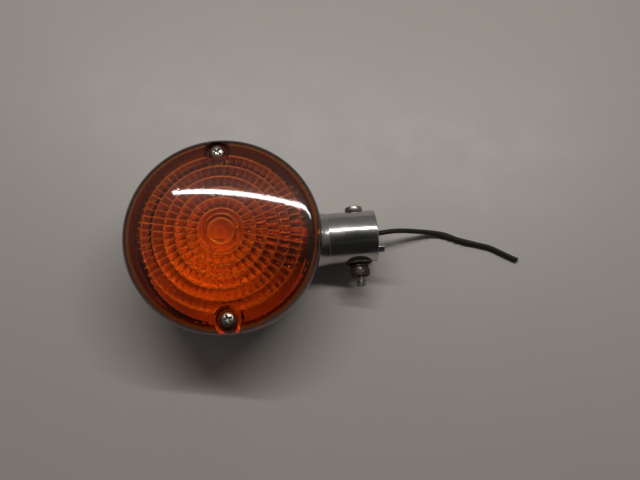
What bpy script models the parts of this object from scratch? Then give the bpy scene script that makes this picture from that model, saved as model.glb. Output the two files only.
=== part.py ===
"""Round amber turn signal of a motorcycle, with the stub that clamps on its stay.

It lies on its flat back with the lens up. The origin is the centre of the back pad, +Z is the
lens axis, and +X runs along the stub, towards its open end.
"""

import math

import bmesh
import bpy
from mathutils import Matrix, Vector

MM = 0.001
GAP = 0.3 * MM

# Heights above the back pad
BOWL_TOP_Z = 30.0 * MM
RIM_Z = 32.6 * MM
GASKET_LOW_Z = RIM_Z + GAP
GASKET_HIGH_Z = 33.8 * MM
LENS_LOW_Z = GASKET_HIGH_Z + GAP
LENS_SHOULDER_Z = 40.5 * MM
LENS_TOP_Z = 52.5 * MM
LENS_INNER_TOP_Z = 50.3 * MM

# Round sizes about the lens axis
LENS_R = 42.5 * MM
BOWL_R = 42.0 * MM
PAD_R = 22.0 * MM
WALL = 1.8 * MM
BOWL_INNER_R = BOWL_R - WALL
LIP_R = 39.9 * MM
LIP_INNER_R = 38.9 * MM
LIP_LOW_Z = 32.0 * MM
LIP_TOP_Z = 36.4 * MM
LENS_WALL = 2.5 * MM
LENS_CAP_R = 160.0 * MM
LENS_CAP_EDGE_R = 37.0 * MM
LENS_INNER_CAP_EDGE_R = 35.0 * MM
LENS_INNER_SHOULDER_Z = 40.1 * MM
LENS_INNER_LOW_Z = 37.5 * MM
RIM_BEAD_R = 1.1 * MM
RIM_BEAD_IN = 0.8 * MM

# Stub and its clamp
STUB_Z = 14.5 * MM
STUB_R = 12.2 * MM
BORE_R = 10.2 * MM
STUB_END_X = 69.0 * MM
FILLET_OUT = 2.0 * MM
FILLET_ALONG = 4.0 * MM
STUB_ROOT_IN = 3.0 * MM
STUB_END_ROUND = 0.6 * MM
BORE_CHAMFER = 0.5 * MM
BORE_DEEP_X = 27.0 * MM
BEYOND = 80.0 * MM
TANG_WIDE = 3.2 * MM
TANG_IN = 2.0 * MM
TANG_OUT = 2.6 * MM
TANG_TURN = math.radians(45)
CLAMP_X = 60.0 * MM
CLAMP_SEAT_Y = 11.7 * MM
CLAMP_SEAT_R = 6.5 * MM
CLAMP_BOLT_R = 2.5 * MM
CLAMP_BOLT_LENGTH = 35.6 * MM
CLAMP_HEAD_R = 4.2 * MM
CLAMP_HEAD = 2.9 * MM
CLAMP_HOLE_R = 2.8 * MM
FLAT_WASHER_R = 6.0 * MM
FLAT_WASHER = 1.0 * MM
SPRING_WASHER_R = 4.3 * MM
SPRING_WASHER = 1.2 * MM
WASHER_SPLIT = 0.7 * MM
NUT_FLATS = 8.0 * MM
NUT = 4.2 * MM
NUT_BEVEL = 0.5 * MM

# Lens screws
SCREW_Y = 36.0 * MM
SCREW_R = 2.0 * MM
SCREW_LENGTH = 23.8 * MM
SCREW_HEAD_R = 3.5 * MM
SCREW_HEAD = 2.4 * MM
SCREW_HOLE_R = 2.35 * MM
BOSS_R = 3.8 * MM
BOSS_LOW_Z = 17.0 * MM
BOSS_HOLE_LOW_Z = 18.5 * MM
BOSS_TOP_Z = 31.4 * MM
COLUMN_R = 3.9 * MM
COLUMN_TOP_R = 5.6 * MM
COLUMN_TOP_LOW_Z = 41.0 * MM
RECESS_R = 4.4 * MM
RECESS_FLOOR_Z = 42.8 * MM
SEAL_R = 3.9 * MM
SEAL = 0.7 * MM
ABOVE = 60.0 * MM

# Bulb, its socket and the bracket
BULB_Z = 21.0 * MM
PIN_X = 23.0 * MM
CAP_R = 7.5 * MM
GLOBE_R = 12.5 * MM
GLOBE_X = -4.2 * MM
FILAMENT_X = -5.5 * MM
SHELL_R = 8.3 * MM
SHELL_INNER_R = 7.8 * MM
SHELL_MOUTH_X = 18.5 * MM
SHELL_REAR_X = 38.0 * MM
SHELL_REAR_INNER_X = 37.5 * MM
SHELL_REAR_HOLE_R = 3.2 * MM
SHELL_CORNER = 0.9 * MM
FLANGE_R = 9.4 * MM
FLANGE_LOW_X = 26.5 * MM
FLANGE_HIGH_X = 27.1 * MM
MOUTH_R = 9.0 * MM
SLOT_INNER_R = 5.0 * MM
SLOT_OUTER_R = 11.0 * MM
SLOT_HALF_LEG = 2.75 * MM
PIN_R = 1.0 * MM
PIN_LOW = 7.2 * MM
PIN_HIGH = 8.4 * MM
PUSH = 1.6 * MM
TWIST = math.radians(20)
DISC_X = 32.5 * MM
DISC_REAR_X = 33.9 * MM
DISC_R = 7.2 * MM
STEM_R = 1.0 * MM
SPRING_X = 34.2 * MM
SPRING_R = 5.2 * MM
SPRING_WIRE_R = 0.25 * MM
SPRING_TURNS = 3.5
CAP_MOUTH_X = 14.5 * MM
CAP_REAR_X = 29.5 * MM
CAP_WALL = 0.5 * MM
INSULATOR_X = 28.4 * MM
INSULATOR_REAR_X = 30.0 * MM
CONTACT_X = 30.3 * MM
NECK_R = 6.6 * MM
NECK_X = 18.5 * MM
GLASS = 0.7 * MM
LEAD_R = 0.25 * MM
FILAMENT_R = 0.12 * MM
FILAMENT_COIL_R = 0.45 * MM
FILAMENT_HALF = 2.6 * MM
FILAMENT_TURNS = 7
BRACKET_SCREW_X = 13.0 * MM
BRACKET_SCREW_Y = 8.0 * MM
BRACKET_SCREW_R = 1.5 * MM
BRACKET_SCREW_LENGTH = 5.5 * MM
BRACKET_HEAD_R = 2.7 * MM
BRACKET_HEAD = 1.7 * MM
BRACKET_HOLE_R = 1.8 * MM
BRACKET_FRONT_X = 9.0 * MM
BRACKET_BACK_X = 28.4 * MM
BRACKET_HALF_WIDTH = 11.0 * MM
BRACKET_TOP_Z = 31.0 * MM
BRACKET = 1.0 * MM
POST_R = 3.0 * MM
POST_HOLE_LOW_Z = 2.6 * MM
NOTCH_R = 4.6 * MM
WINDOW_X = 18.0 * MM
WINDOW_HALF = 11.8 * MM
DISH_FLOOR_Z = 6.3 * MM
DISH_TOP_Z = 29.0 * MM
DISH_R = 37.6 * MM
DISH_FLOOR_R = 20.0 * MM
DISH_WALL = 0.6 * MM

WIRE_R = 1.15 * MM
TAIL_R = 1.2 * MM
GROMMET_LOW_X = 44.2 * MM
GROMMET_HIGH_X = 47.0 * MM
GROMMET_R = 9.9 * MM
GROMMET_EDGE_R = 9.2 * MM
GROMMET_EDGE = 0.5 * MM
WIRE_HOLE_R = 1.75 * MM
WIRE_HOLE_Z = 18.5 * MM

# Route of the wire from the socket through the stub, in millimetres
INNER_ROUTE = [
    (34.7, 0.0, 21.0), (38.5, 0.0, 21.0), (41.2, 0.0, 20.1), (43.6, 0.0, 18.8),
    (46.0, 0.0, 18.5), (48.6, 0.0, 18.2), (52.0, 0.2, 15.2), (55.2, 0.4, 11.8),
    (58.4, 0.6, 10.0), (62.0, 0.8, 9.8), (64.8, 1.0, 10.4), (67.2, 1.2, 10.9),
]

# Route of the free end of the wire, from the stub down to the table and along it
TAIL_ROUTE = [
    (67.5, 1.2, 10.9), (70.8, 1.5, 11.2), (74.2, 1.9, 11.0), (77.6, 2.2, 10.4),
    (80.9, 2.4, 9.5), (84.1, 2.4, 8.4), (87.3, 2.3, 7.1), (90.6, 2.1, 5.8),
    (94.1, 1.9, 4.4), (97.6, 1.6, 3.1), (101.0, 1.2, 2.1), (104.3, 0.5, 1.5),
    (107.5, -0.7, 1.3), (111.1, -2.5, 1.3), (116.1, -4.4, 1.3), (122.0, -6.4, 1.3),
    (127.3, -8.2, 1.3), (131.6, -10.6, 1.3), (136.0, -13.3, 1.3), (140.5, -15.8, 1.3),
]

# Sides of the round pieces, and how their edges are shaded
SMALL = 16
COARSE = 24
FINE = 40
STUB_STEPS = 36
CAP_STEPS = 4
SHOULDER_STEPS = 5
SHARP_ANGLE = math.radians(32)
MERGE = 0.00002
TUBE_SIDES_LEVEL = 2
ROUTE_STEPS = 24


# ---------------------------------------------------------------- tools

def clear_scene():
    """Remove every object that the scene starts with."""
    for old in list(bpy.data.objects):
        bpy.data.objects.remove(old, do_unlink=True)


def add_object(name, data):
    """Link a new object to the scene's own collection for this signal."""
    piece = bpy.data.objects.new(name, data)
    COLLECTION.objects.link(piece)
    return piece


def paint(piece, colour, roughness, metallic=0.0, alpha=1.0):
    """Give a piece its own Principled material."""
    material = bpy.data.materials.new(piece.name)
    material.use_nodes = True
    shader = material.node_tree.nodes["Principled BSDF"]
    shader.inputs["Base Color"].default_value = (*colour, 1.0)
    shader.inputs["Roughness"].default_value = roughness
    shader.inputs["Metallic"].default_value = metallic
    shader.inputs["Alpha"].default_value = alpha
    piece.data.materials.clear()
    piece.data.materials.append(material)


def apply_modifiers(piece):
    """Replace a piece's mesh by what its modifiers make of it."""
    bpy.context.view_layer.update()
    graph = bpy.context.evaluated_depsgraph_get()
    mesh = bpy.data.meshes.new_from_object(piece.evaluated_get(graph))
    piece.modifiers.clear()
    piece.data = mesh


def combine(piece, tool, operation):
    """Join, cut or trim a piece with a tool, and remove the tool."""
    modifier = piece.modifiers.new(operation.lower(), "BOOLEAN")
    modifier.operation = operation
    modifier.object = tool
    apply_modifiers(piece)
    bpy.data.objects.remove(tool, do_unlink=True)


def shade(piece):
    """Shade a round piece smooth, and keep its real edges sharp."""
    piece.data.shade_smooth()
    piece.data.set_sharp_from_angle(angle=SHARP_ANGLE)


def axis_turn(axis):
    """Give the rotation that lays the local Z axis along a world axis."""
    return {
        "Z": (0, 0, 0),
        "X": (0, math.radians(90), 0),
        "Y": (math.radians(-90), 0, 0),
    }[axis]


def turned(name, profile, steps=COARSE, axis="Z", place=(0, 0, 0), ring=False):
    """Turn a profile of (radius, height) points, listed down its outer side, about an axis."""
    builder = bmesh.new()
    corners = [builder.verts.new((radius, 0, height)) for radius, height in profile]
    for start, end in zip(corners, corners[1:]):
        builder.edges.new((start, end))
    if ring:
        builder.edges.new((corners[-1], corners[0]))
    mesh = bpy.data.meshes.new(name)
    builder.to_mesh(mesh)
    builder.free()
    piece = add_object(name, mesh)
    piece.rotation_euler = axis_turn(axis)
    piece.location = place
    screw = piece.modifiers.new("turn", "SCREW")
    screw.steps = steps
    screw.render_steps = steps
    screw.use_merge_vertices = True
    screw.merge_threshold = MERGE
    apply_modifiers(piece)
    return piece


def rod(name, radius, start, end, axis="Z", place=(0, 0, 0), steps=COARSE):
    """Make a cylinder between two heights along an axis."""
    length = end - start
    builder = bmesh.new()
    middle = Matrix.Translation((0, 0, start + length / 2))
    bmesh.ops.create_cone(
        builder, cap_ends=True, segments=steps, radius1=radius, radius2=radius,
        depth=length, matrix=middle)
    mesh = bpy.data.meshes.new(name)
    builder.to_mesh(mesh)
    builder.free()
    piece = add_object(name, mesh)
    piece.rotation_euler = axis_turn(axis)
    piece.location = place
    return piece


def block(name, low, high):
    """Make a box between two corners."""
    low = Vector(low)
    high = Vector(high)
    builder = bmesh.new()
    bmesh.ops.create_cube(builder, size=1)
    size = high - low
    bmesh.ops.scale(builder, vec=size, verts=builder.verts)
    bmesh.ops.translate(builder, vec=(low + high) / 2, verts=builder.verts)
    mesh = bpy.data.meshes.new(name)
    builder.to_mesh(mesh)
    builder.free()
    return add_object(name, mesh)


def arc(centre, radii, start, end, count):
    """List points on an elliptical arc, with angles in degrees."""
    points = []
    for step in range(count + 1):
        angle = math.radians(start + (end - start) * step / count)
        radius = centre[0] + radii[0] * math.cos(angle)
        height = centre[1] + radii[1] * math.sin(angle)
        points.append((max(radius, 0.0), height))
    return points


def bezier(first, corner, last, count):
    """List points on a quadratic curve from first to last, tangent to both sides of a corner."""
    points = []
    for step in range(count + 1):
        t = step / count
        weights = ((1 - t) ** 2, 2 * t * (1 - t), t ** 2)
        points.append(tuple(
            weights[0] * a + weights[1] * b + weights[2] * c
            for a, b, c in zip(first, corner, last)))
    return points


def smooth_route(route, spacing):
    """Read evenly spaced points from a smooth curve through a route's own points."""
    points = [Vector(point) * MM for point in route]
    fine = []
    for index in range(len(points) - 1):
        before = points[max(index - 1, 0)]
        start = points[index]
        end = points[index + 1]
        after = points[min(index + 2, len(points) - 1)]
        for step in range(ROUTE_STEPS):
            t = step / ROUTE_STEPS
            leave = (end - before) / 2
            arrive = (after - start) / 2
            fine.append(
                start * (2 * t ** 3 - 3 * t ** 2 + 1) + leave * (t ** 3 - 2 * t ** 2 + t)
                + end * (3 * t ** 2 - 2 * t ** 3) + arrive * (t ** 3 - t ** 2))
    fine.append(points[-1])
    total = sum((b - a).length for a, b in zip(fine, fine[1:]))
    count = max(2, round(total / spacing))
    chosen = [fine[0]]
    walked = 0.0
    for a, b in zip(fine, fine[1:]):
        walked += (b - a).length
        if walked >= total * len(chosen) / count and len(chosen) < count:
            chosen.append(b)
    chosen.append(fine[-1])
    return chosen


def tube(name, points, radius, place=(0, 0, 0)):
    """Run a round wire with capped ends through points."""
    curve = bpy.data.curves.new(name, "CURVE")
    curve.dimensions = "3D"
    curve.bevel_depth = radius
    curve.bevel_resolution = TUBE_SIDES_LEVEL
    curve.use_fill_caps = True
    spline = curve.splines.new("POLY")
    spline.points.add(len(points) - 1)
    for slot, point in zip(spline.points, points):
        slot.co = (*point, 1.0)
    piece = add_object(name, curve)
    piece.location = place
    return piece


def attach(piece, parent):
    """Parent a piece to an unrotated empty, without moving it."""
    piece.parent = parent
    piece.location = Vector(piece.location) - Vector(parent.location)


def axis_empty(name, place):
    """Mark a joint's axis with an empty."""
    empty = add_object(name, None)
    empty.empty_display_size = 5 * MM
    empty.location = place
    return empty


def cut_cross(piece, width, length, depth, top, axis="Z", turn=0.0):
    """Sink a cross recess into the top of a head, centred on the head's own axis."""
    for quarter in (0, 90):
        low = (-length / 2, -width / 2, top - depth)
        high = (length / 2, width / 2, top + depth)
        slot = block("slot", low, high)
        spin = Matrix.Rotation(turn + math.radians(quarter), 4, "Z")
        slot.data.transform(spin)
        slot.rotation_euler = axis_turn(axis)
        slot.location = piece.location
        combine(piece, slot, "DIFFERENCE")


def pan_screw(name, place, shank_r, shank, head_r, head, axis="Z", turn=0.0):
    """Make a pan head screw whose head sits on its own origin and points along the axis."""
    crown = arc((0, head * 0.25), (head_r, head * 0.75), 90, 15, 3)
    profile = crown + [(head_r, 0), (shank_r, 0), (shank_r, -shank + shank_r * 0.5)]
    profile += [(shank_r * 0.6, -shank), (0, -shank)]
    piece = turned(name, profile, SMALL, axis, place)
    cut_cross(piece, head_r * 0.24, head_r * 1.25, head * 0.55, head, axis, turn)
    shade(piece)
    return piece


def washer(name, inner, outer, low, high, axis="Z", place=(0, 0, 0), steps=COARSE):
    """Make a flat ring."""
    profile = [(inner, high), (outer, high), (outer, low), (inner, low)]
    piece = turned(name, profile, steps, axis, place, ring=True)
    shade(piece)
    return piece


# ---------------------------------------------------------------- housing

def bowl_radius(height):
    """Give the bowl's outer radius at a height."""
    depth = min(max((BOWL_TOP_Z - height) / BOWL_TOP_Z, 0.0), 1.0)
    return PAD_R + (BOWL_R - PAD_R) * math.sqrt(1 - depth ** 2)


def bowl_face_x(side, height):
    """Give the X of the bowl's outer face on the stub's side."""
    return math.sqrt(bowl_radius(height) ** 2 - side ** 2)


def stub_ring_radii(angle):
    """List the (x, radius) points of the stub's outer face along one direction around it."""
    def face(radius):
        return bowl_face_x(radius * math.cos(angle), STUB_Z + radius * math.sin(angle))

    wide = STUB_R + FILLET_OUT
    outline = [(face(wide) - STUB_ROOT_IN, wide)]
    outline += bezier(
        (face(wide) - 0.1 * MM, wide), (face(STUB_R), STUB_R),
        (face(STUB_R) + FILLET_ALONG, STUB_R), 4)
    outline += [
        (STUB_END_X - STUB_END_ROUND, STUB_R),
        (STUB_END_X - 0.3 * STUB_END_ROUND, STUB_R - 0.3 * STUB_END_ROUND),
        (STUB_END_X, STUB_R - STUB_END_ROUND),
    ]
    return outline


def make_stub():
    """Loft the stub out of the bowl, with a fillet that follows where they meet."""
    builder = bmesh.new()
    columns = []
    for step in range(STUB_STEPS):
        angle = 2 * math.pi * step / STUB_STEPS
        column = [
            builder.verts.new((x, radius * math.cos(angle), STUB_Z + radius * math.sin(angle)))
            for x, radius in stub_ring_radii(angle)]
        columns.append(column)
    for index, column in enumerate(columns):
        after = columns[(index + 1) % STUB_STEPS]
        for k in range(len(column) - 1):
            builder.faces.new((column[k], column[k + 1], after[k + 1], after[k]))
    builder.faces.new([column[-1] for column in columns])
    builder.faces.new([column[0] for column in reversed(columns)])
    bmesh.ops.recalc_face_normals(builder, faces=builder.faces)
    mesh = bpy.data.meshes.new("stub")
    builder.to_mesh(mesh)
    builder.free()
    return add_object("stub", mesh)


def make_tang():
    """Make the small locating tang on the stub's end."""
    low = (STUB_END_X - TANG_IN, -TANG_WIDE / 2, BORE_R + 0.1 * MM)
    high = (STUB_END_X + TANG_OUT, TANG_WIDE / 2, STUB_R - 0.15 * MM)
    tang = block("tang", low, high)
    tang.data.transform(Matrix.Rotation(TANG_TURN, 4, "X"))
    tang.location = (0, 0, STUB_Z)
    return tang


def make_housing():
    """Make the plated housing: bowl, stub, screw bosses, bracket posts and all its holes."""
    bead = arc(
        (BOWL_R - RIM_BEAD_IN, RIM_Z - RIM_BEAD_R), (RIM_BEAD_R, RIM_BEAD_R), 90, -45, 3)
    outside = arc((PAD_R, BOWL_TOP_Z), (BOWL_R - PAD_R, BOWL_TOP_Z), 0, -90, 8)
    housing = turned("housing", [(0, RIM_Z)] + bead + outside + [(0, 0)], FINE)
    combine(housing, make_stub(), "UNION")
    combine(housing, make_tang(), "UNION")
    inside = arc(
        (PAD_R, BOWL_TOP_Z), (BOWL_INNER_R - PAD_R, BOWL_TOP_Z - WALL), 0, -90, 7)
    top = RIM_Z + 2 * MM
    cavity = turned(
        "cavity", [(0, top), (BOWL_INNER_R, top)] + inside + [(0, WALL)], FINE)
    combine(housing, cavity, "DIFFERENCE")
    bore_profile = [
        (0, BEYOND), (BORE_R + 3 * MM, BEYOND),
        (BORE_R + BORE_CHAMFER + 0.1 * MM, STUB_END_X + 0.1 * MM),
        (BORE_R, STUB_END_X - BORE_CHAMFER), (BORE_R, BORE_DEEP_X), (0, BORE_DEEP_X)]
    tang_keep = make_tang()
    bore = turned("bore", bore_profile, STUB_STEPS, "X", (0, 0, STUB_Z))
    combine(bore, tang_keep, "DIFFERENCE")
    combine(housing, bore, "DIFFERENCE")
    for side in (1, -1):
        place = (0, side * SCREW_Y, 0)
        combine(
            housing, rod("boss", BOSS_R, BOSS_LOW_Z, BOSS_TOP_Z, "Z", place, SMALL), "UNION")
        combine(
            housing, rod("boss_hole", SCREW_R + GAP, BOSS_HOLE_LOW_Z, ABOVE, "Z", place, SMALL),
            "DIFFERENCE")
        place = (BRACKET_SCREW_X, side * BRACKET_SCREW_Y, 0)
        combine(
            housing, rod("post", POST_R, WALL / 2, DISH_FLOOR_Z - GAP, "Z", place, SMALL),
            "UNION")
        combine(
            housing,
            rod("post_hole", BRACKET_HOLE_R, POST_HOLE_LOW_Z, BULB_Z, "Z", place, SMALL),
            "DIFFERENCE")
        seat = rod(
            "seat", CLAMP_SEAT_R, CLAMP_SEAT_Y, 2 * STUB_R, "Y", (CLAMP_X, 0, STUB_Z), COARSE)
        if side < 0:
            seat.rotation_euler = (math.radians(90), 0, 0)
        combine(housing, seat, "DIFFERENCE")
    clamp_hole = rod(
        "clamp_hole", CLAMP_HOLE_R, -2 * STUB_R, 2 * STUB_R, "Y", (CLAMP_X, 0, STUB_Z), SMALL)
    combine(housing, clamp_hole, "DIFFERENCE")
    shade(housing)
    paint(housing, (0.62, 0.61, 0.58), 0.12, 1.0)


def make_reflector():
    """Make the pressed reflector dish, notched for the lens screws and for the socket."""
    def dish(inset):
        centre = (DISH_FLOOR_R, DISH_TOP_Z)
        radii = (DISH_R - DISH_FLOOR_R - inset, DISH_TOP_Z - DISH_FLOOR_Z - inset)
        return arc(centre, radii, 0, -90, 6)

    inner = [(0, DISH_FLOOR_Z + DISH_WALL)] + list(reversed(dish(DISH_WALL)))
    rim = [(DISH_R - DISH_WALL, DISH_TOP_Z + DISH_WALL), (DISH_R, DISH_TOP_Z + DISH_WALL)]
    outer = dish(0) + [(0, DISH_FLOOR_Z)]
    reflector = turned("reflector", inner + rim + outer, FINE)
    for side in (1, -1):
        notch = rod("notch", NOTCH_R, 0, ABOVE, "Z", (0, side * SCREW_Y, 0), SMALL)
        combine(reflector, notch, "DIFFERENCE")
        hole = rod(
            "hole", BRACKET_HOLE_R, 0, BULB_Z, "Z",
            (BRACKET_SCREW_X, side * BRACKET_SCREW_Y, 0), SMALL)
        combine(reflector, hole, "DIFFERENCE")
    window = block("window", (WINDOW_X, -WINDOW_HALF, 0), (BEYOND, WINDOW_HALF, ABOVE))
    combine(reflector, window, "DIFFERENCE")
    shade(reflector)
    paint(reflector, (0.8, 0.8, 0.79), 0.15, 1.0)


# ---------------------------------------------------------------- lens and its screws

def cap_line(curve_r, top_z, edge_r, rim_r, rim_z):
    """List the points of a shallow cap that turns down over a shoulder to its rim."""
    points = []
    for step in range(CAP_STEPS + 1):
        radius = edge_r * step / CAP_STEPS
        points.append((radius, top_z - curve_r + math.sqrt(curve_r ** 2 - radius ** 2)))
    edge_z = points[-1][1]
    slope = edge_r / math.sqrt(curve_r ** 2 - edge_r ** 2)
    corner = (rim_r, edge_z - slope * (rim_r - edge_r))
    return points + bezier(points[-1], corner, (rim_r, rim_z), SHOULDER_STEPS)[1:]


def lens_space():
    """Make the hollow under the lens, with the two screw columns left standing in it."""
    inner_r = LENS_R - LENS_WALL
    dome = cap_line(
        LENS_CAP_R - LENS_TOP_Z + LENS_INNER_TOP_Z, LENS_INNER_TOP_Z, LENS_INNER_CAP_EDGE_R,
        inner_r, LENS_INNER_SHOULDER_Z)
    profile = dome + [
        (inner_r, LENS_INNER_LOW_Z), (LIP_INNER_R, LIP_TOP_Z), (LIP_INNER_R, BOWL_TOP_Z),
        (0, BOWL_TOP_Z)]
    space = turned("lens_space", profile, FINE)
    for side in (1, -1):
        place = (0, side * SCREW_Y, 0)
        lower = rod("column", COLUMN_R, RIM_Z + 0.4 * MM, ABOVE, "Z", place, SMALL)
        combine(space, lower, "DIFFERENCE")
        upper = rod("column_top", COLUMN_TOP_R, COLUMN_TOP_LOW_Z, ABOVE, "Z", place, SMALL)
        combine(space, upper, "DIFFERENCE")
    return space


def make_lens():
    """Make the domed amber lens with its two screw recesses."""
    dome = cap_line(LENS_CAP_R, LENS_TOP_Z, LENS_CAP_EDGE_R, LENS_R, LENS_SHOULDER_Z)
    profile = dome + [
        (LENS_R, LENS_LOW_Z), (LIP_R, LENS_LOW_Z), (LIP_R, LIP_LOW_Z), (0, LIP_LOW_Z)]
    lens = turned("lens", profile, FINE)
    combine(lens, lens_space(), "DIFFERENCE")
    for side in (1, -1):
        place = (0, side * SCREW_Y, 0)
        combine(
            lens, rod("recess", RECESS_R, RECESS_FLOOR_Z, ABOVE, "Z", place, COARSE),
            "DIFFERENCE")
        combine(
            lens, rod("screw_hole", SCREW_HOLE_R, BOWL_TOP_Z, ABOVE, "Z", place, SMALL),
            "DIFFERENCE")
    shade(lens)
    paint(lens, (0.85, 0.26, 0.04), 0.12, 0.0, 0.75)


def make_lens_fixings():
    """Make the gasket, and a screw with its sealing washer at each side."""
    gasket = washer(
        "lens_gasket", LIP_R + GAP, BOWL_R, GASKET_LOW_Z, GASKET_HIGH_Z, "Z", (0, 0, 0), FINE)
    paint(gasket, (0.03, 0.03, 0.03), 0.85)
    seal_low = RECESS_FLOOR_Z + GAP
    seal_high = seal_low + SEAL
    for side, word, turn in ((1, "top", 45), (-1, "bottom", 15)):
        place = (0, side * SCREW_Y, 0)
        seal = washer(
            "lens_screw_washer_" + word, SCREW_R + GAP, SEAL_R, seal_low, seal_high, "Z",
            place)
        paint(seal, (0.25, 0.1, 0.05), 0.7)
        screw = pan_screw(
            "lens_screw_" + word, (0, side * SCREW_Y, seal_high + GAP), SCREW_R,
            SCREW_LENGTH, SCREW_HEAD_R, SCREW_HEAD, "Z", math.radians(turn))
        paint(screw, (0.55, 0.54, 0.5), 0.35, 1.0)


# ---------------------------------------------------------------- socket

def make_bracket():
    """Make the bent socket bracket, with a hole for the socket and two screw holes."""
    half_width = BRACKET_HALF_WIDTH
    low_z = DISH_FLOOR_Z + DISH_WALL + GAP
    foot = block(
        "socket_bracket", (BRACKET_FRONT_X, -half_width, low_z),
        (BRACKET_BACK_X, half_width, low_z + BRACKET))
    upright = block(
        "upright", (BRACKET_BACK_X - BRACKET, -half_width, low_z + BRACKET / 2),
        (BRACKET_BACK_X, half_width, BRACKET_TOP_Z))
    combine(foot, upright, "UNION")
    socket_hole = rod(
        "socket_hole", SHELL_R + GAP, PIN_X, SHELL_REAR_X, "X", (0, 0, BULB_Z), COARSE)
    combine(foot, socket_hole, "DIFFERENCE")
    for side in (1, -1):
        hole = rod(
            "hole", BRACKET_HOLE_R, 0, BULB_Z, "Z",
            (BRACKET_SCREW_X, side * BRACKET_SCREW_Y, 0), SMALL)
        combine(foot, hole, "DIFFERENCE")
    paint(foot, (0.5, 0.47, 0.4), 0.4, 1.0)
    for side, word in ((1, "left"), (-1, "right")):
        screw = pan_screw(
            "bracket_screw_" + word,
            (BRACKET_SCREW_X, side * BRACKET_SCREW_Y, low_z + BRACKET + GAP),
            BRACKET_SCREW_R, BRACKET_SCREW_LENGTH, BRACKET_HEAD_R, BRACKET_HEAD, "Z",
            math.radians(30))
        paint(screw, (0.55, 0.54, 0.5), 0.35, 1.0)


def bayonet_slots():
    """List the cutters of the two L-shaped bayonet slots in the socket shell."""
    leg_low = PIN_X - PIN_R - GAP
    leg_high = PIN_X + PIN_R + PUSH + GAP
    half_channel = PIN_R + GAP
    cutters = []
    for side in (0, math.pi):
        for low_x, half, angle in (
                (leg_low, SLOT_HALF_LEG, -TWIST / 2),
                (SHELL_MOUTH_X - MM, half_channel, -TWIST)):
            cutter = block(
                "slot", (low_x, SLOT_INNER_R, -half), (leg_high, SLOT_OUTER_R, half))
            cutter.data.transform(Matrix.Rotation(side + angle, 4, "X"))
            cutter.location = (0, 0, BULB_Z)
            cutters.append(cutter)
    return cutters


def make_socket():
    """Make the bayonet socket: shell, sliding contact, its insulating disc and its spring."""
    profile = [
        (SHELL_REAR_HOLE_R, SHELL_REAR_X), (SHELL_R - SHELL_CORNER, SHELL_REAR_X),
        (SHELL_R, SHELL_REAR_X - SHELL_CORNER), (SHELL_R, FLANGE_HIGH_X),
        (FLANGE_R, FLANGE_HIGH_X), (FLANGE_R, FLANGE_LOW_X), (SHELL_R, FLANGE_LOW_X),
        (SHELL_R, SHELL_MOUTH_X + 0.6 * MM), (MOUTH_R, SHELL_MOUTH_X + 0.3 * MM),
        (MOUTH_R, SHELL_MOUTH_X), (SHELL_INNER_R + 0.4 * MM, SHELL_MOUTH_X),
        (SHELL_INNER_R, SHELL_MOUTH_X + 0.4 * MM),
        (SHELL_INNER_R, SHELL_REAR_INNER_X - 0.6 * MM),
        (SHELL_INNER_R - 0.6 * MM, SHELL_REAR_INNER_X),
        (SHELL_REAR_HOLE_R, SHELL_REAR_INNER_X)]
    shell = turned("socket_shell", profile, COARSE, "X", (0, 0, BULB_Z), ring=True)
    for cutter in bayonet_slots():
        combine(shell, cutter, "DIFFERENCE")
    shade(shell)
    paint(shell, (0.7, 0.6, 0.35), 0.3, 1.0)

    contact_axis = axis_empty("contact_axis", (DISC_X, 0, BULB_Z))
    disc = washer(
        "contact_disc", STEM_R + GAP, DISC_R, DISC_X, DISC_REAR_X, "X", (0, 0, BULB_Z))
    paint(disc, (0.12, 0.05, 0.03), 0.6)
    attach(disc, contact_axis)
    face_x = DISC_X - GAP
    button_r = 2.6 * MM
    button = turned(
        "contact_button",
        [(0, DISC_REAR_X + 0.5 * MM), (STEM_R, DISC_REAR_X + 0.5 * MM), (STEM_R, face_x),
         (button_r, face_x), (button_r, face_x - 0.5 * MM),
         (button_r - 0.5 * MM, face_x - 0.8 * MM), (0, face_x - 0.8 * MM)],
        SMALL, "X", (0, 0, BULB_Z))
    shade(button)
    paint(button, (0.75, 0.6, 0.3), 0.3, 1.0)
    attach(button, contact_axis)

    first = SPRING_X + SPRING_WIRE_R
    last = SHELL_REAR_INNER_X - GAP - SPRING_WIRE_R
    per_turn = 12
    total = round(SPRING_TURNS * per_turn)
    coil = []
    for step in range(total + 1):
        angle = 2 * math.pi * step / per_turn
        x = first + (last - first) * step / total
        coil.append((x, SPRING_R * math.cos(angle), SPRING_R * math.sin(angle)))
    spring = tube("contact_spring", coil, SPRING_WIRE_R, (0, 0, BULB_Z))
    paint(spring, (0.5, 0.5, 0.5), 0.35, 1.0)


# ---------------------------------------------------------------- bulb

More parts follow.
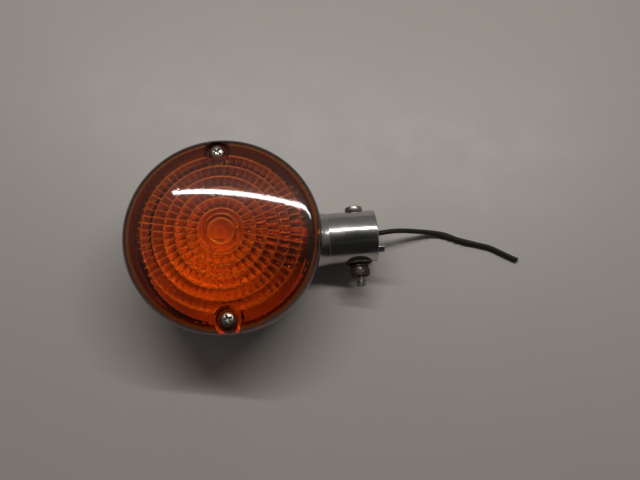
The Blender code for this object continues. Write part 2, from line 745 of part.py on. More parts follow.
def make_bulb():
    """Make the single-contact bayonet bulb, lying along X with its filament near the lens axis."""
    bulb_axis = axis_empty("bulb_axis", (PIN_X, 0, BULB_Z))
    centre = (0, 0, BULB_Z)

    seat_r = 4.1 * MM
    cap_profile = [
        (seat_r + GAP, CAP_REAR_X), (5.4 * MM, CAP_REAR_X), (CAP_R, CAP_REAR_X - 1.7 * MM),
        (CAP_R, CAP_MOUTH_X), (CAP_R - CAP_WALL, CAP_MOUTH_X),
        (CAP_R - CAP_WALL, CAP_REAR_X - 2.0 * MM), (5.2 * MM, CAP_REAR_X - CAP_WALL),
        (seat_r + GAP, CAP_REAR_X - CAP_WALL)]
    cap = turned("bulb_cap", cap_profile, COARSE, "X", centre, ring=True)
    for side in (1, -1):
        low = min(side * PIN_LOW, side * PIN_HIGH)
        high = max(side * PIN_LOW, side * PIN_HIGH)
        pin = rod("pin", PIN_R, low, high, "Y", (PIN_X, 0, BULB_Z), SMALL)
        combine(cap, pin, "UNION")
    shade(cap)
    paint(cap, (0.72, 0.6, 0.33), 0.3, 1.0)

    seat = turned(
        "bulb_cap_insulator",
        [(0, INSULATOR_REAR_X), (seat_r - 0.9 * MM, INSULATOR_REAR_X), (seat_r, CAP_REAR_X),
         (seat_r, INSULATOR_X), (0, INSULATOR_X)],
        SMALL, "X", centre)
    shade(seat)
    paint(seat, (0.02, 0.02, 0.03), 0.2)

    solder = turned(
        "bulb_contact", arc((0, CONTACT_X), (2.1 * MM, 0.8 * MM), 90, 0, 4) + [(0, CONTACT_X)],
        SMALL, "X", centre)
    shade(solder)
    paint(solder, (0.6, 0.6, 0.58), 0.35, 1.0)

    def globe(radius, neck):
        """List the glass outline from the neck's mouth round to the tip."""
        side = radius * math.sin(math.radians(45))
        round_part = arc((0, GLOBE_X), (radius, radius), 45, -90, 8)
        corner_x = GLOBE_X + side + (side - neck)
        waist = bezier((neck, corner_x + 3.4 * MM), (neck, corner_x), (side, GLOBE_X + side), 3)
        return [(neck, NECK_X)] + waist + round_part[1:]

    outside = globe(GLOBE_R, NECK_R)
    inside = globe(GLOBE_R - GLASS, NECK_R - GLASS)
    glass = turned("bulb_glass", list(reversed(inside)) + outside, COARSE, "X", centre)
    shade(glass)
    paint(glass, (0.9, 0.92, 0.92), 0.03, 0.0, 0.3)

    mount = turned(
        "bulb_mount",
        [(0, 19.4 * MM), (5.6 * MM, 19.4 * MM), (5.6 * MM, 18.8 * MM), (3.0 * MM, 17.6 * MM),
         (2.2 * MM, 14.0 * MM), (2.0 * MM, 7.0 * MM), (1.2 * MM, 6.2 * MM), (0, 6.2 * MM)],
        SMALL, "X", centre)
    shade(mount)
    paint(mount, (0.85, 0.88, 0.88), 0.08, 0.0, 0.4)

    parts = [cap, seat, solder, glass, mount]
    for side, word in ((1, "left"), (-1, "right")):
        route = [
            (5.8 * MM, side * 0.9 * MM, 0), (3.5 * MM, side * 1.4 * MM, 0),
            (0.0, side * 2.6 * MM, 0), (FILAMENT_X + 1 * MM, side * 3.2 * MM, 0),
            (FILAMENT_X, side * 3.3 * MM, 0), (FILAMENT_X - 0.6 * MM, side * 3.3 * MM, 0)]
        lead = tube("filament_lead_" + word, route, LEAD_R, centre)
        paint(lead, (0.45, 0.42, 0.4), 0.35, 1.0)
        parts.append(lead)

    per_turn = 7
    total = FILAMENT_TURNS * per_turn
    coil = []
    for step in range(total + 1):
        angle = 2 * math.pi * step / per_turn
        x = FILAMENT_X + FILAMENT_COIL_R * math.cos(angle)
        y = FILAMENT_HALF * (2 * step / total - 1)
        coil.append((x, y, FILAMENT_COIL_R * math.sin(angle)))
    filament = tube("bulb_filament", coil, FILAMENT_R, centre)
    paint(filament, (0.25, 0.24, 0.24), 0.4, 1.0)
    parts.append(filament)
    for part in parts:
        attach(part, bulb_axis)


# ---------------------------------------------------------------- clamp and wire

def make_clamp():
    """Make the cross bolt that pinches the stub on its stay, with its washers and nut."""
    clamp_axis = axis_empty("clamp_axis", (CLAMP_X, 0, STUB_Z))
    centre = (CLAMP_X, 0, STUB_Z)
    head_y = CLAMP_SEAT_Y + GAP
    bolt = pan_screw(
        "clamp_bolt", (CLAMP_X, head_y, STUB_Z), CLAMP_BOLT_R, CLAMP_BOLT_LENGTH,
        CLAMP_HEAD_R, CLAMP_HEAD, "Y", math.radians(20))
    paint(bolt, (0.5, 0.47, 0.42), 0.35, 1.0)

    flat_low = -head_y - FLAT_WASHER
    flat = washer(
        "clamp_flat_washer", CLAMP_HOLE_R, FLAT_WASHER_R, flat_low, -head_y, "Y", centre)
    paint(flat, (0.3, 0.25, 0.2), 0.5, 1.0)

    ring_high = flat_low - GAP
    ring_low = ring_high - SPRING_WASHER
    ring = washer(
        "clamp_spring_washer", CLAMP_HOLE_R, SPRING_WASHER_R, ring_low, ring_high, "Y",
        centre)
    split = block(
        "split", (-WASHER_SPLIT / 2, ring_low - MM, 1 * MM),
        (WASHER_SPLIT / 2, ring_high + MM, 8 * MM))
    split.data.transform(Matrix.Rotation(math.radians(-35), 4, "Y"))
    split.location = centre
    combine(ring, split, "DIFFERENCE")
    shade(ring)
    paint(ring, (0.3, 0.22, 0.16), 0.55, 1.0)

    nut_high = ring_low - GAP
    nut_low = nut_high - NUT
    corner = NUT_FLATS / 2 / math.cos(math.radians(30))
    nut = rod("clamp_nut", corner, nut_low, nut_high, "Y", centre, 6)
    wide = corner + 0.05 * MM
    trim = turned(
        "trim",
        [(0, nut_high), (NUT_FLATS / 2, nut_high), (wide, nut_high - NUT_BEVEL),
         (wide, nut_low + NUT_BEVEL), (NUT_FLATS / 2, nut_low), (0, nut_low)],
        COARSE, "Y", centre)
    combine(nut, trim, "INTERSECT")
    hole = rod("nut_hole", CLAMP_HOLE_R, nut_low - MM, nut_high + MM, "Y", centre, SMALL)
    combine(nut, hole, "DIFFERENCE")
    shade(nut)
    paint(nut, (0.33, 0.22, 0.15), 0.55, 1.0)
    for part in (bolt, flat, ring, nut):
        attach(part, clamp_axis)


def make_wire():
    """Make the wire inside the signal, the grommet it passes, and its free end."""
    wire = tube("feed_wire", smooth_route(INNER_ROUTE, 2.2 * MM), WIRE_R)
    paint(wire, (0.02, 0.02, 0.018), 0.5)
    plug = turned("bore_grommet", [
        (0, GROMMET_HIGH_X), (GROMMET_EDGE_R, GROMMET_HIGH_X),
        (GROMMET_R, GROMMET_HIGH_X - GROMMET_EDGE), (GROMMET_R, GROMMET_LOW_X + GROMMET_EDGE),
        (GROMMET_EDGE_R, GROMMET_LOW_X), (0, GROMMET_LOW_X)], COARSE, "X", (0, 0, STUB_Z))
    hole = rod(
        "wire_hole", WIRE_HOLE_R, GROMMET_LOW_X - MM, GROMMET_HIGH_X + MM, "X",
        (0, 0, WIRE_HOLE_Z), SMALL)
    combine(plug, hole, "DIFFERENCE")
    shade(plug)
    paint(plug, (0.03, 0.03, 0.03), 0.8)
    tail = tube("wire_tail", smooth_route(TAIL_ROUTE, 3.2 * MM), TAIL_R)
    paint(tail, (0.03, 0.03, 0.022), 0.5)


clear_scene()
COLLECTION = bpy.data.collections.new("turn_signal")
bpy.context.scene.collection.children.link(COLLECTION)
make_housing()
make_reflector()
make_lens()
make_lens_fixings()
make_bracket()
make_socket()
make_bulb()
make_clamp()
make_wire()
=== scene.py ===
"""Looks of the round amber turn signal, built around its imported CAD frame.

Lengths are in millimetres in the tables and builders below, and each mesh is scaled to metres.
The origin is the centre of the flat back, +Z is the lens axis and +X runs along the stub.
"""
import math

import bmesh
import bpy
import numpy as np
from mathutils import Matrix, Vector, noise


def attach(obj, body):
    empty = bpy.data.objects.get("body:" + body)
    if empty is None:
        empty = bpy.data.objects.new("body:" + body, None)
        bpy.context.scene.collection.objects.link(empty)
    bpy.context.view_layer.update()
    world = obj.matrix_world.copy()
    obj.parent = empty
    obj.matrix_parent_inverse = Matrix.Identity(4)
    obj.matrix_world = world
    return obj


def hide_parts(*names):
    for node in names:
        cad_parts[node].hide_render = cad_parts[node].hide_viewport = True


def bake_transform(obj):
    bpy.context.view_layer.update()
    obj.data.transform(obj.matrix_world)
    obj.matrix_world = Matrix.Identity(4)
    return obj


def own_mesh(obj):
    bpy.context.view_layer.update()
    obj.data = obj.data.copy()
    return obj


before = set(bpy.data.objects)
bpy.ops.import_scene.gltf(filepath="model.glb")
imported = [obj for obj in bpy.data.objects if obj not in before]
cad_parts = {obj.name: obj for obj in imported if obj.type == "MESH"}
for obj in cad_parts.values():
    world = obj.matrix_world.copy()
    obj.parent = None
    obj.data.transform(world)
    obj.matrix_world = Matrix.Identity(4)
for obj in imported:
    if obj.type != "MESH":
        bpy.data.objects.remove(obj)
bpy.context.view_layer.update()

MM = 0.001
FINE = 144
MEDIUM = 72
CLEAR = 60.0  # cutters run out to here, past every face that they cut

# Housing: the bowl with its rim bead, and the bosses and posts inside it
BOWL_TOP_Z, RIM_Z, BOWL_R, PAD_R, WALL = 30.0, 32.6, 42.0, 22.0, 1.8
BEAD_R, BEAD_INSET = 1.1, 0.8
BOSS_R, BOSS_LOW_Z, BOSS_TOP_Z, BOSS_HOLE_R, BOSS_HOLE_Z = 3.8, 17.0, 31.4, 2.3, 18.5
POST_X, POST_Y, POST_R, POST_LOW_Z, POST_HOLE_R, POST_HOLE_Z = 13.0, 8.0, 3.0, 1.0, 1.8, 2.6

# Stub: its fillet ends in a low step, a tang stands out of its end and a bolt crosses it
STUB_Z, STUB_R, STUB_END_X, STUB_EDGE_R = 14.5, 12.2, 69.0, 0.7
FILLET_R, FILLET_END_X, STEP_X, TUBE_X = 2.0, 46.3, 46.5, 46.6
BORE_R, BORE_START_X = 10.2, 27.0
TANG_HALF, TANG_OUT, TANG_ANGLE = 1.6, 2.6, 45
CLAMP_X, CLAMP_SEAT_Y, CLAMP_SEAT_R, CROSS_HOLE_R = 60.0, 11.7, 6.5, 2.8

# Lens: its outer cap, the lip in the bowl, its inner face, the screw columns and the seals
LENS_R, LENS_LOW_Z, SHOULDER_Z, LENS_TOP_Z = 42.5, 34.1, 40.5, 52.5
CAP_CURVE_R, CAP_EDGE_R, INNER_CAP_EDGE_R = 160.0, 37.0, 35.0
LIP_R, LIP_INNER_R, LIP_LOW_Z, LIP_TOP_Z = 39.9, 38.9, 32.0, 36.4
INNER_R, INNER_TOP_Z, INNER_SHOULDER_Z, INNER_LOW_Z = 40.0, 50.3, 40.1, 37.5
SCREW_Y, RECESS_R, RECESS_FLARE, RECESS_FLOOR_Z, LENS_HOLE_R = 36.0, 4.4, 0.4, 42.8, 2.35
COLUMN_R, COLUMN_LOW_Z, COLUMN_HEAD_R, COLUMN_HEAD_Z = 3.9, 33.0, 5.6, 41.0
GASKET_R, GASKET_LOW_Z, GASKET_HIGH_Z = 40.2, 32.9, 33.8
SEAL_HOLE_R, SEAL_R, SEAL_LOW_Z, SEAL_HIGH_Z, HEAD_SEAT_Z = 2.3, 3.9, 43.1, 43.8, 44.1

# Reflector dish, and the bracket that holds the socket in the dish's window
DISH_FLOOR_Z, DISH_TOP_Z, DISH_R, DISH_FLOOR_R, DISH_WALL = 6.3, 29.0, 37.6, 20.0, 0.6
NOTCH_R, WINDOW_X, WINDOW_HALF = 4.6, 18.0, 11.8
FOOT_GAP, FOOT_X, UPRIGHT_X, UPRIGHT_TOP_Z = 0.3, 9.0, 28.4, 31.0
PLATE, BEND_R, BRACKET_HALF, SOCKET_HOLE_R = 1.0, 2.0, 11.0, 8.6

# Bulb, which lies along X, with the pins of its cap and the spring behind its contact
BULB_Z, PIN_X = 21.0, 23.0
GLOBE_X, GLOBE_R, NECK_R, NECK_X, GLASS = -4.2, 12.5, 6.6, 18.5, 0.7
SPRING_R, SPRING_START_X, SPRING_END_X = 5.2, 34.45, 36.95
FILAMENT_X, FILAMENT_R, FILAMENT_HALF = -5.5, 0.45, 2.6


# ---------------------------------------------------------------- meshes

def new_object(name, data):
    """Put an object with its data into the scene."""
    piece = bpy.data.objects.new(name, data)
    bpy.context.scene.collection.objects.link(piece)
    return piece


def from_lists(name, points, faces):
    """Make an object from points in millimetres."""
    mesh = bpy.data.meshes.new(name)
    mesh.from_pydata([tuple(c * MM for c in p) for p in points], [], faces)
    mesh.validate()
    builder = bmesh.new()
    builder.from_mesh(mesh)
    bmesh.ops.recalc_face_normals(builder, faces=builder.faces)
    builder.to_mesh(mesh)
    builder.free()
    return new_object(name, mesh)


def skin(name, rows, ring=False, capped=True):
    """Make an object from rows of points that go round it, where a row may be a single tip.

    With ring the last row joins the first, and otherwise open ends can get a flat cap.
    """
    points, indexes, faces = [], [], []
    for row in rows:
        indexes.append([len(points) + k for k in range(len(row))])
        points += row
    steps = max(len(row) for row in rows)
    pairs = list(zip(indexes, indexes[1:]))
    if ring:
        pairs.append((indexes[-1], indexes[0]))
    for upper, lower in pairs:
        for k in range(steps):
            n = (k + 1) % steps
            corners = [upper[k % len(upper)], lower[k % len(lower)],
                       lower[n % len(lower)], upper[n % len(upper)]]
            face = [c for j, c in enumerate(corners) if c not in corners[:j]]
            if len(face) > 2:
                faces.append(face)
    if capped and not ring:
        faces += [row for row in (indexes[0], indexes[-1]) if len(row) > 2]
    return from_lists(name, points, faces)


def place_on(piece, axis="Z", at=(0, 0, 0), spin=0.0):
    """Stand a mesh made along Z on an axis, at a point in millimetres, and bake that in."""
    stand = {
        "Z": Matrix.Identity(4),
        "X": Matrix.Rotation(math.pi / 2, 4, "Y"),
        "Y": Matrix.Rotation(-math.pi / 2, 4, "X"),
        "-Y": Matrix.Rotation(math.pi / 2, 4, "X"),
    }[axis]
    place = Matrix.Translation(Vector(at) * MM)
    piece.data.transform(place @ stand @ Matrix.Rotation(math.radians(spin), 4, "Z"))
    return piece


def roll(piece, degrees, axis, at=(0, 0, 0)):
    """Turn a mesh about an axis and then move it to a point in millimetres."""
    piece.data.transform(Matrix.Rotation(math.radians(degrees), 4, axis))
    piece.data.transform(Matrix.Translation(Vector(at) * MM))
    return piece


def turns(steps):
    """List the angles of one whole turn in even steps."""
    return [2 * math.pi * k / steps for k in range(steps)]


def circle(radius, height, steps):
    """List the points of a level ring about Z, or its one point if it has no size."""
    if radius < 1e-5:
        return [(0.0, 0.0, height)]
    return [(radius * math.cos(a), radius * math.sin(a), height) for a in turns(steps)]


def arc(centre, radii, start, end, count):
    """List (radius, height) points on an elliptical arc, with angles in degrees."""
    points = []
    for step in range(count + 1):
        a = math.radians(start + (end - start) * step / count)
        points.append((max(centre[0] + radii[0] * math.cos(a), 0.0),
                       centre[1] + radii[1] * math.sin(a)))
    return points


def bezier(first, corner, last, count):
    """List points on the curve that leaves one point and meets another towards a corner."""
    points = []
    for step in range(count + 1):
        t = step / count
        points.append(tuple(
            (1 - t) ** 2 * a + 2 * t * (1 - t) * b + t * t * c
            for a, b, c in zip(first, corner, last)))
    return points


def helix(radius, first, last, coils, per_coil):
    """List (along, across, up) points of a coil between two places on its axis."""
    total = int(coils * per_coil)
    points = []
    for step in range(total + 1):
        a = 2 * math.pi * step / per_coil
        points.append((first + (last - first) * step / total, radius * math.cos(a),
                       radius * math.sin(a)))
    return points


def soften(profile, radius, ring=False):
    """Round the corners of a profile that bend enough to be real ones."""
    least_bend, least_size, most_share, count = 25, 0.01, 0.45, 3
    made = []
    total = len(profile)
    for i, point in enumerate(profile):
        p = Vector(point)
        back = Vector(profile[i - 1]) - p
        on = Vector(profile[(i + 1) % total]) - p
        size = min(radius, most_share * back.length, most_share * on.length)
        at_end = not ring and i in (0, total - 1)
        if at_end or size < least_size or 180 - math.degrees(back.angle(on)) < least_bend:
            made.append(point)
        else:
            made += bezier(p + back.normalized() * size, p, p + on.normalized() * size, count)
    return made


def lathe(name, profile, steps=MEDIUM, axis="Z", at=(0, 0, 0), ring=False, soft=0.0):
    """Turn (radius, height) points, listed down the outer side, about an axis."""
    if soft:
        profile = soften(profile, soft, ring)
    rows = [circle(radius, height, steps) for radius, height in profile]
    return place_on(skin(name, rows, ring, capped=False), axis, at)


def box(name, low, high):
    """Make a block between two opposite corners."""
    corners = [(x, y, z) for x in (low[0], high[0]) for y in (low[1], high[1])
               for z in (low[2], high[2])]
    faces = [(0, 1, 3, 2), (4, 6, 7, 5), (0, 4, 5, 1), (2, 3, 7, 6), (0, 2, 6, 4), (1, 5, 7, 3)]
    return from_lists(name, corners, faces)


def extrude(name, outline, low, high):
    """Raise an (x, y) outline from one height to another."""
    n = len(outline)
    points = [(x, y, low) for x, y in outline] + [(x, y, high) for x, y in outline]
    faces = [tuple(range(n)), tuple(range(n, 2 * n))]
    faces += [(k, (k + 1) % n, n + (k + 1) % n, n + k) for k in range(n)]
    return from_lists(name, points, faces)


def rod(name, radius, low, high, axis="Z", at=(0, 0, 0), steps=32):
    """Make a plain round bar."""
    return lathe(name, [(0, high), (radius, high), (radius, low), (0, low)], steps, axis, at)


def apply_all(piece):
    """Bake a piece's modifiers into its mesh."""
    bpy.context.view_layer.update()
    graph = bpy.context.evaluated_depsgraph_get()
    mesh = bpy.data.meshes.new_from_object(piece.evaluated_get(graph))
    old = piece.data
    piece.modifiers.clear()
    piece.data = mesh
    bpy.data.meshes.remove(old)


def combine(piece, tool, operation="DIFFERENCE"):
    """Join, cut or trim a piece with a tool, and remove the tool."""
    modifier = piece.modifiers.new("combine", "BOOLEAN")
    modifier.operation = operation
    modifier.object = tool
    modifier.solver = "EXACT"
    apply_all(piece)
    bpy.data.objects.remove(tool, do_unlink=True)
    return piece


def drill(piece, radius, low=0.0, axis="Z", at=(0, 0, 0), steps=32):
    """Cut a round hole that starts at a height on an axis and runs out past the piece."""
    return combine(piece, rod("hole", radius, low, CLEAR, axis, at, steps))


def bevel(piece, width, segments=2, angle=35):
    """Round a piece's edges that are sharper than an angle."""
    modifier = piece.modifiers.new("bevel", "BEVEL")
    modifier.width = width * MM
    modifier.segments = segments
    modifier.limit_method = "ANGLE"
    modifier.angle_limit = math.radians(angle)
    apply_all(piece)
    return piece


def finish(piece, material, body, node, sharp=35):
    """Shade, paint and place a piece on its body, in the stead of its CAD node."""
    piece.data.shade_smooth()
    piece.data.set_sharp_from_angle(angle=math.radians(sharp))
    piece.data.materials.clear()
    piece.data.materials.append(material)
    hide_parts(node)
    if body:
        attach(piece, body)
    return piece


def smooth_path(route, per_part):
    """Read points from a smooth curve through a route's own points."""
    points = [Vector(p) for p in route]
    made = []
    for i in range(len(points) - 1):
        before, start = points[max(i - 1, 0)], points[i]
        end, after = points[i + 1], points[min(i + 2, len(points) - 1)]
        for step in range(per_part):
            t = step / per_part
            made.append(
                start * (2 * t ** 3 - 3 * t ** 2 + 1)
                + (end - before) / 2 * (t ** 3 - 2 * t ** 2 + t)
                + end * (3 * t ** 2 - 2 * t ** 3) + (after - start) / 2 * (t ** 3 - t ** 2))
    made.append(points[-1])
    return made


def sweep(name, path, radius, sides, swell=None):
    """Run a round wire along a path; swell(share, direction) adds to its radius."""
    path = [Vector(p) for p in path]
    last = len(path) - 1
    lengths = [0.0]
    for a, b in zip(path, path[1:]):
        lengths.append(lengths[-1] + (b - a).length)
    frames = []
    side = (path[1] - path[0]).normalized().orthogonal().normalized()
    for i, centre in enumerate(path):
        along = (path[min(i + 1, last)] - path[max(i - 1, 0)]).normalized()
        side = (side - along * side.dot(along)).normalized()
        frames.append((centre, side, along.cross(side)))
    end_rows = (0.75, 0.925)
    order = [(0, scale) for scale in end_rows] + [(i, 1.0) for i in range(1, last)]
    order += [(last, scale) for scale in reversed(end_rows)]
    rows = []
    for i, scale in order:
        centre, u, v = frames[i]
        row = []
        for a in turns(sides):
            out = u * math.cos(a) + v * math.sin(a)
            extra = swell(lengths[i] / lengths[-1], out) if swell else 0.0
            row.append(centre + out * (radius * scale + extra))
        rows.append(row)
    return skin(name, rows)


def threaded(name, radius, depth, pitch, low, high):
    """Make a rod with a helical thread along Z, pointed at its low end and plain at the other."""
    sides, per_pitch = 24, 8
    flank, groove, run_out, point = 2.6, 0.15, 1.2, 0.6
    count = max(6, int((high - low) / pitch * per_pitch))
    rows = []
    for i in range(count + 1):
        z = low + (high - low) * i / count
        fade = min(1.0, max(0.0, (high - z) / run_out))
        point_r = radius - depth - 0.05 + (z - low) * radius / point * 0.35
        row = []
        for k, a in enumerate(turns(sides)):
            phase = (z / pitch - k / sides) % 1.0
            tooth = min(1.0, max(0.0, abs(phase - 0.5) * flank - groove))
            r = min(radius - depth * (1 - tooth) * fade, point_r)
            row.append((r * math.cos(a), r * math.sin(a), z))
        rows.append(row)
    return skin(name, rows)


def phillips(radius, depth, top):
    """Make the tapered four-winged cutter of a Phillips recess, in a head whose top is given."""
    wide, tip, half = radius * 0.66, radius * 0.24, radius * 0.14
    lift = 0.3
    grow = lift * (wide - tip) / depth
    outline = [(-wide - grow, top + lift), (wide + grow, top + lift), (tip, top - depth),
               (-tip, top - depth)]
    points = []
    for side in (-1, 1):
        for x, z in outline:
            points.append((x, side * half * (1.15 if z > top else 0.8), z))
    faces = [(0, 1, 2, 3), (4, 5, 6, 7), (0, 1, 5, 4), (1, 2, 6, 5), (2, 3, 7, 6), (3, 0, 4, 7)]
    cutter, crossed = (place_on(from_lists("wing", points, faces), spin=a) for a in (0, 90))
    combine(cutter, crossed, "UNION")
    core = lathe("core", [(0, top + lift), (radius * 0.27, top + lift),
                          (radius * 0.17, top - depth * 0.9), (0, top - depth * 1.1)], 16)
    return combine(cutter, core, "UNION")


def screw(name, shank_r, shank, head_r, head, pitch, crown=0.75):
    """Make a pan head screw along Z, standing on its head's flat; crown is the domed share."""
    core_r, overlap, edge = shank_r * 0.9, 0.3, 0.15
    profile = arc((0, head * (1 - crown)), (head_r, head * crown), 90, 12, 10)
    profile += [(head_r, head * 0.12), (head_r - edge, 0), (core_r, 0), (core_r, -2 * overlap),
                (0, -2 * overlap)]
    piece = lathe(name, profile, 48)
    combine(piece, phillips(head_r, head * 0.72, head))
    bevel(piece, 0.05, angle=40)
    thread = threaded("thread", shank_r, pitch * 0.5, pitch, -shank, -overlap)
    return combine(piece, thread, "UNION")


# ---------------------------------------------------------------- node trees

class Tree:
    """A node tree, whose nodes are made and joined in a few words."""

    def __init__(self, owner):
        owner.use_nodes = True
        self.tree = owner.node_tree

    def add(self, kind, *first, **named):
        """Make a node: values for its first sockets, then _choice= and Socket_name= values."""
        node = self.tree.nodes.new("ShaderNode" + kind)
        for socket, value in zip(node.inputs, first):
            self.set(socket, value)
        for key, value in named.items():
            if key.startswith("_"):
                setattr(node, key[1:], value)
            else:
                self.set(node.inputs[key.replace("_", " ")], value)
        return node

    def set(self, socket, value):
        """Link a node or an output to a socket, or give the socket a fixed value."""
        if isinstance(value, bpy.types.NodeSocket):
            self.tree.links.new(value, socket)
        elif isinstance(value, bpy.types.Node):
            self.tree.links.new(value.outputs[0], socket)
        elif isinstance(value, tuple) and socket.type == "RGBA":
            socket.default_value = (*value, 1.0)
        else:
            socket.default_value = value

    def ramp(self, value, low, high, start=0.0, end=1.0):
        """Go from start to end while a value goes from low to high."""
        node = self.add("MapRange", Value=value, From_Min=low, From_Max=high, To_Min=start,
                        To_Max=end)
        return node.outputs["Result"]

    def mix(self, factor, first, second):
        """Blend two colours."""
        node = self.add("Mix", _data_type="RGBA")
        for socket, value in ((0, factor), (6, first), (7, second)):
            self.set(node.inputs[socket], value)
        return node.outputs[2]

    def math(self, operation, first, second):
        """Work with two numbers."""
        return self.add("Math", first, second, _operation=operation).outputs[0]


class Surface(Tree):
    """A material's nodes, with patterns that are fixed in the object's own coordinates."""

    def __init__(self, name):
        self.material = bpy.data.materials.new(name)
        super().__init__(self.material)
        self.shader = self.tree.nodes["Principled BSDF"]
        self.output = self.tree.nodes["Material Output"]
        self.place = self.add("TexCoord").outputs["Object"]

    def noise(self, scale, detail, rough):
        """Clouds from 0 to 1, with a scale per metre."""
        return self.add("TexNoise", Vector=self.place, Scale=scale, Detail=detail,
                        Roughness=rough)

    def pits(self, scale, size, cover):
        """Scattered round specks, 1 in a speck and 0 elsewhere; cover is the share that shows."""
        cells = self.add("TexVoronoi", Vector=self.place, Scale=scale)
        spot = self.ramp(cells.outputs["Distance"], size, size * 0.55)
        pick = self.add("SeparateColor", Color=cells.outputs["Color"])
        return self.math("MULTIPLY", spot, self.math("LESS_THAN", pick, cover))

    def bump(self, height, distance, strength):
        """Lean the normals by a height from 0 to 1 that stands for a distance in metres."""
        node = self.add("Bump", Height=height, Distance=distance, Strength=strength)
        self.set(self.shader.inputs["Normal"], node)

    def principled(self, **sockets):
        """Set sockets of the shader by their names."""
        for key, value in sockets.items():
            self.set(self.shader.inputs[key.replace("_", " ")], value)


# ---------------------------------------------------------------- materials

# Where the amber darkens into its rim tint over these radii, and the painted shade that darkens
# its lower (-Y) side into that tint over these Y, up to a share
DEEP_FROM_R, DEEP_TO_R = 37.0, 41.2
SHADE_FROM_Y, SHADE_TO_Y, SHADE_SHARE = 10.0, -32.0, 0.72
# How clear the plastic stays under the painted glints on the prisms' edges
GLINT_CLEAR = 0.25


def metal(name, base, worn, rough, grain=120.0, fine=2500.0, dent=0.00001, pit=None, haze=0.0):
    """A metal whose tint and gloss wander, with fine scratches or casting grain, and pits.

    rough is a pair for clean and worn, pit is (scale, size, cover, tint), and haze is the
    weight of a wide soft gloss over the sharp one.
    """
    n = Surface(name)
    patches = n.ramp(n.noise(grain, 5.0, 0.6), 0.38, 0.64)
    colour = n.mix(patches, base, worn)
    gloss = n.ramp(patches, 0.0, 1.0, *rough)
    height = n.noise(fine, 3.0, 0.6).outputs[0]
    if pit:
        *shape, dark = pit
        spots = n.pits(*shape)
        colour = n.mix(spots, colour, dark)
        gloss = n.math("ADD", gloss, n.math("MULTIPLY", spots, 0.35))
        height = n.math("SUBTRACT", n.math("MULTIPLY", height, 0.4), spots)
    n.principled(Base_Color=colour, Roughness=gloss, Metallic=1.0, Coat_Weight=haze,
                 Coat_Roughness=0.4, Coat_IOR=2.0)
    n.bump(height, dent, 0.6)
    return n.material


def rust(name, steel, brown, orange, level):
    """Plated steel that has rusted; a level from 0.7 (clean) to 0.3 (all rust) of the clouds."""
    n = Surface(name)
    mask = n.ramp(n.noise(260.0, 6.0, 0.7), level - 0.06, level + 0.06)
    tone = n.ramp(n.noise(900.0, 4.0, 0.7), 0.35, 0.7)
    n.principled(
        Base_Color=n.mix(mask, steel, n.mix(tone, brown, orange)),
        Metallic=n.ramp(mask, 0.0, 1.0, 1.0, 0.15),
        Roughness=n.ramp(mask, 0.0, 1.0, 0.34, 0.82))
    n.bump(n.math("MULTIPLY", n.noise(2200.0, 4.0, 0.7), mask), 0.00012, 0.7)
    return n.material


def plain(name, base, other, rough, **sockets):
    """Rubber, plastic or fibre: a mottled tint and gloss with a fine surface grain."""
    n = Surface(name)
    patches = n.ramp(n.noise(400.0, 5.0, 0.6), 0.35, 0.68)
    n.principled(Base_Color=n.mix(patches, base, other),
                 Roughness=n.ramp(patches, 0.0, 1.0, *rough), **sockets)
    n.bump(n.noise(3000.0, 3.0, 0.6), 0.00003, 0.5)
    return n.material


def see_through(name, tint, shadow_tint, rough, ior, clear=1.0, gloss=0.0, rim_and_shade_tint=None,
                ridge_tint=None, scuff=0.0):
    """Clear plastic or glass that bends sight but lets the lamps' light straight through."""
    n = Surface(name)
    # Painted glints: paler, less clear amber along the prisms' edges, read from the ridge
    # attribute
    if ridge_tint:
        ridge = n.add("Attribute", _attribute_name="ridge").outputs["Fac"]
        tint = n.mix(ridge, tint, ridge_tint)
        clear = n.ramp(ridge, 0.0, 1.0, clear, GLINT_CLEAR)
    # Painted shade: the tint darkens towards -Y, the side away from the lamp; it also darkens
    # towards the rim
    if rim_and_shade_tint:
        flat = n.add("VectorMath", n.place, (1, 1, 0), _operation="MULTIPLY")
        span = n.add("VectorMath", flat, _operation="LENGTH").outputs["Value"]
        side = n.add("SeparateXYZ", n.place).outputs["Y"]
        tint = n.mix(n.ramp(side, SHADE_FROM_Y * MM, SHADE_TO_Y * MM, 0.0, SHADE_SHARE), tint,
                     rim_and_shade_tint)
        tint = n.mix(n.ramp(span, DEEP_FROM_R * MM, DEEP_TO_R * MM), tint, rim_and_shade_tint)
    wear = n.ramp(n.noise(300.0, 4.0, 0.6), 0.45, 0.75, *rough)
    n.principled(Base_Color=tint, Roughness=wear, IOR=ior, Transmission_Weight=clear,
                 Coat_Weight=gloss, Coat_Roughness=0.3, Coat_IOR=ior)
    if scuff:
        n.bump(n.noise(1100.0, 4.0, 0.7), scuff, 0.5)
    lit = n.add("BsdfTransparent", Color=shadow_tint)
    to_lamp = n.add("LightPath").outputs["Is Shadow Ray"]
    n.set(n.output.inputs["Surface"], n.add("MixShader", to_lamp, n.shader, lit))
    return n.material


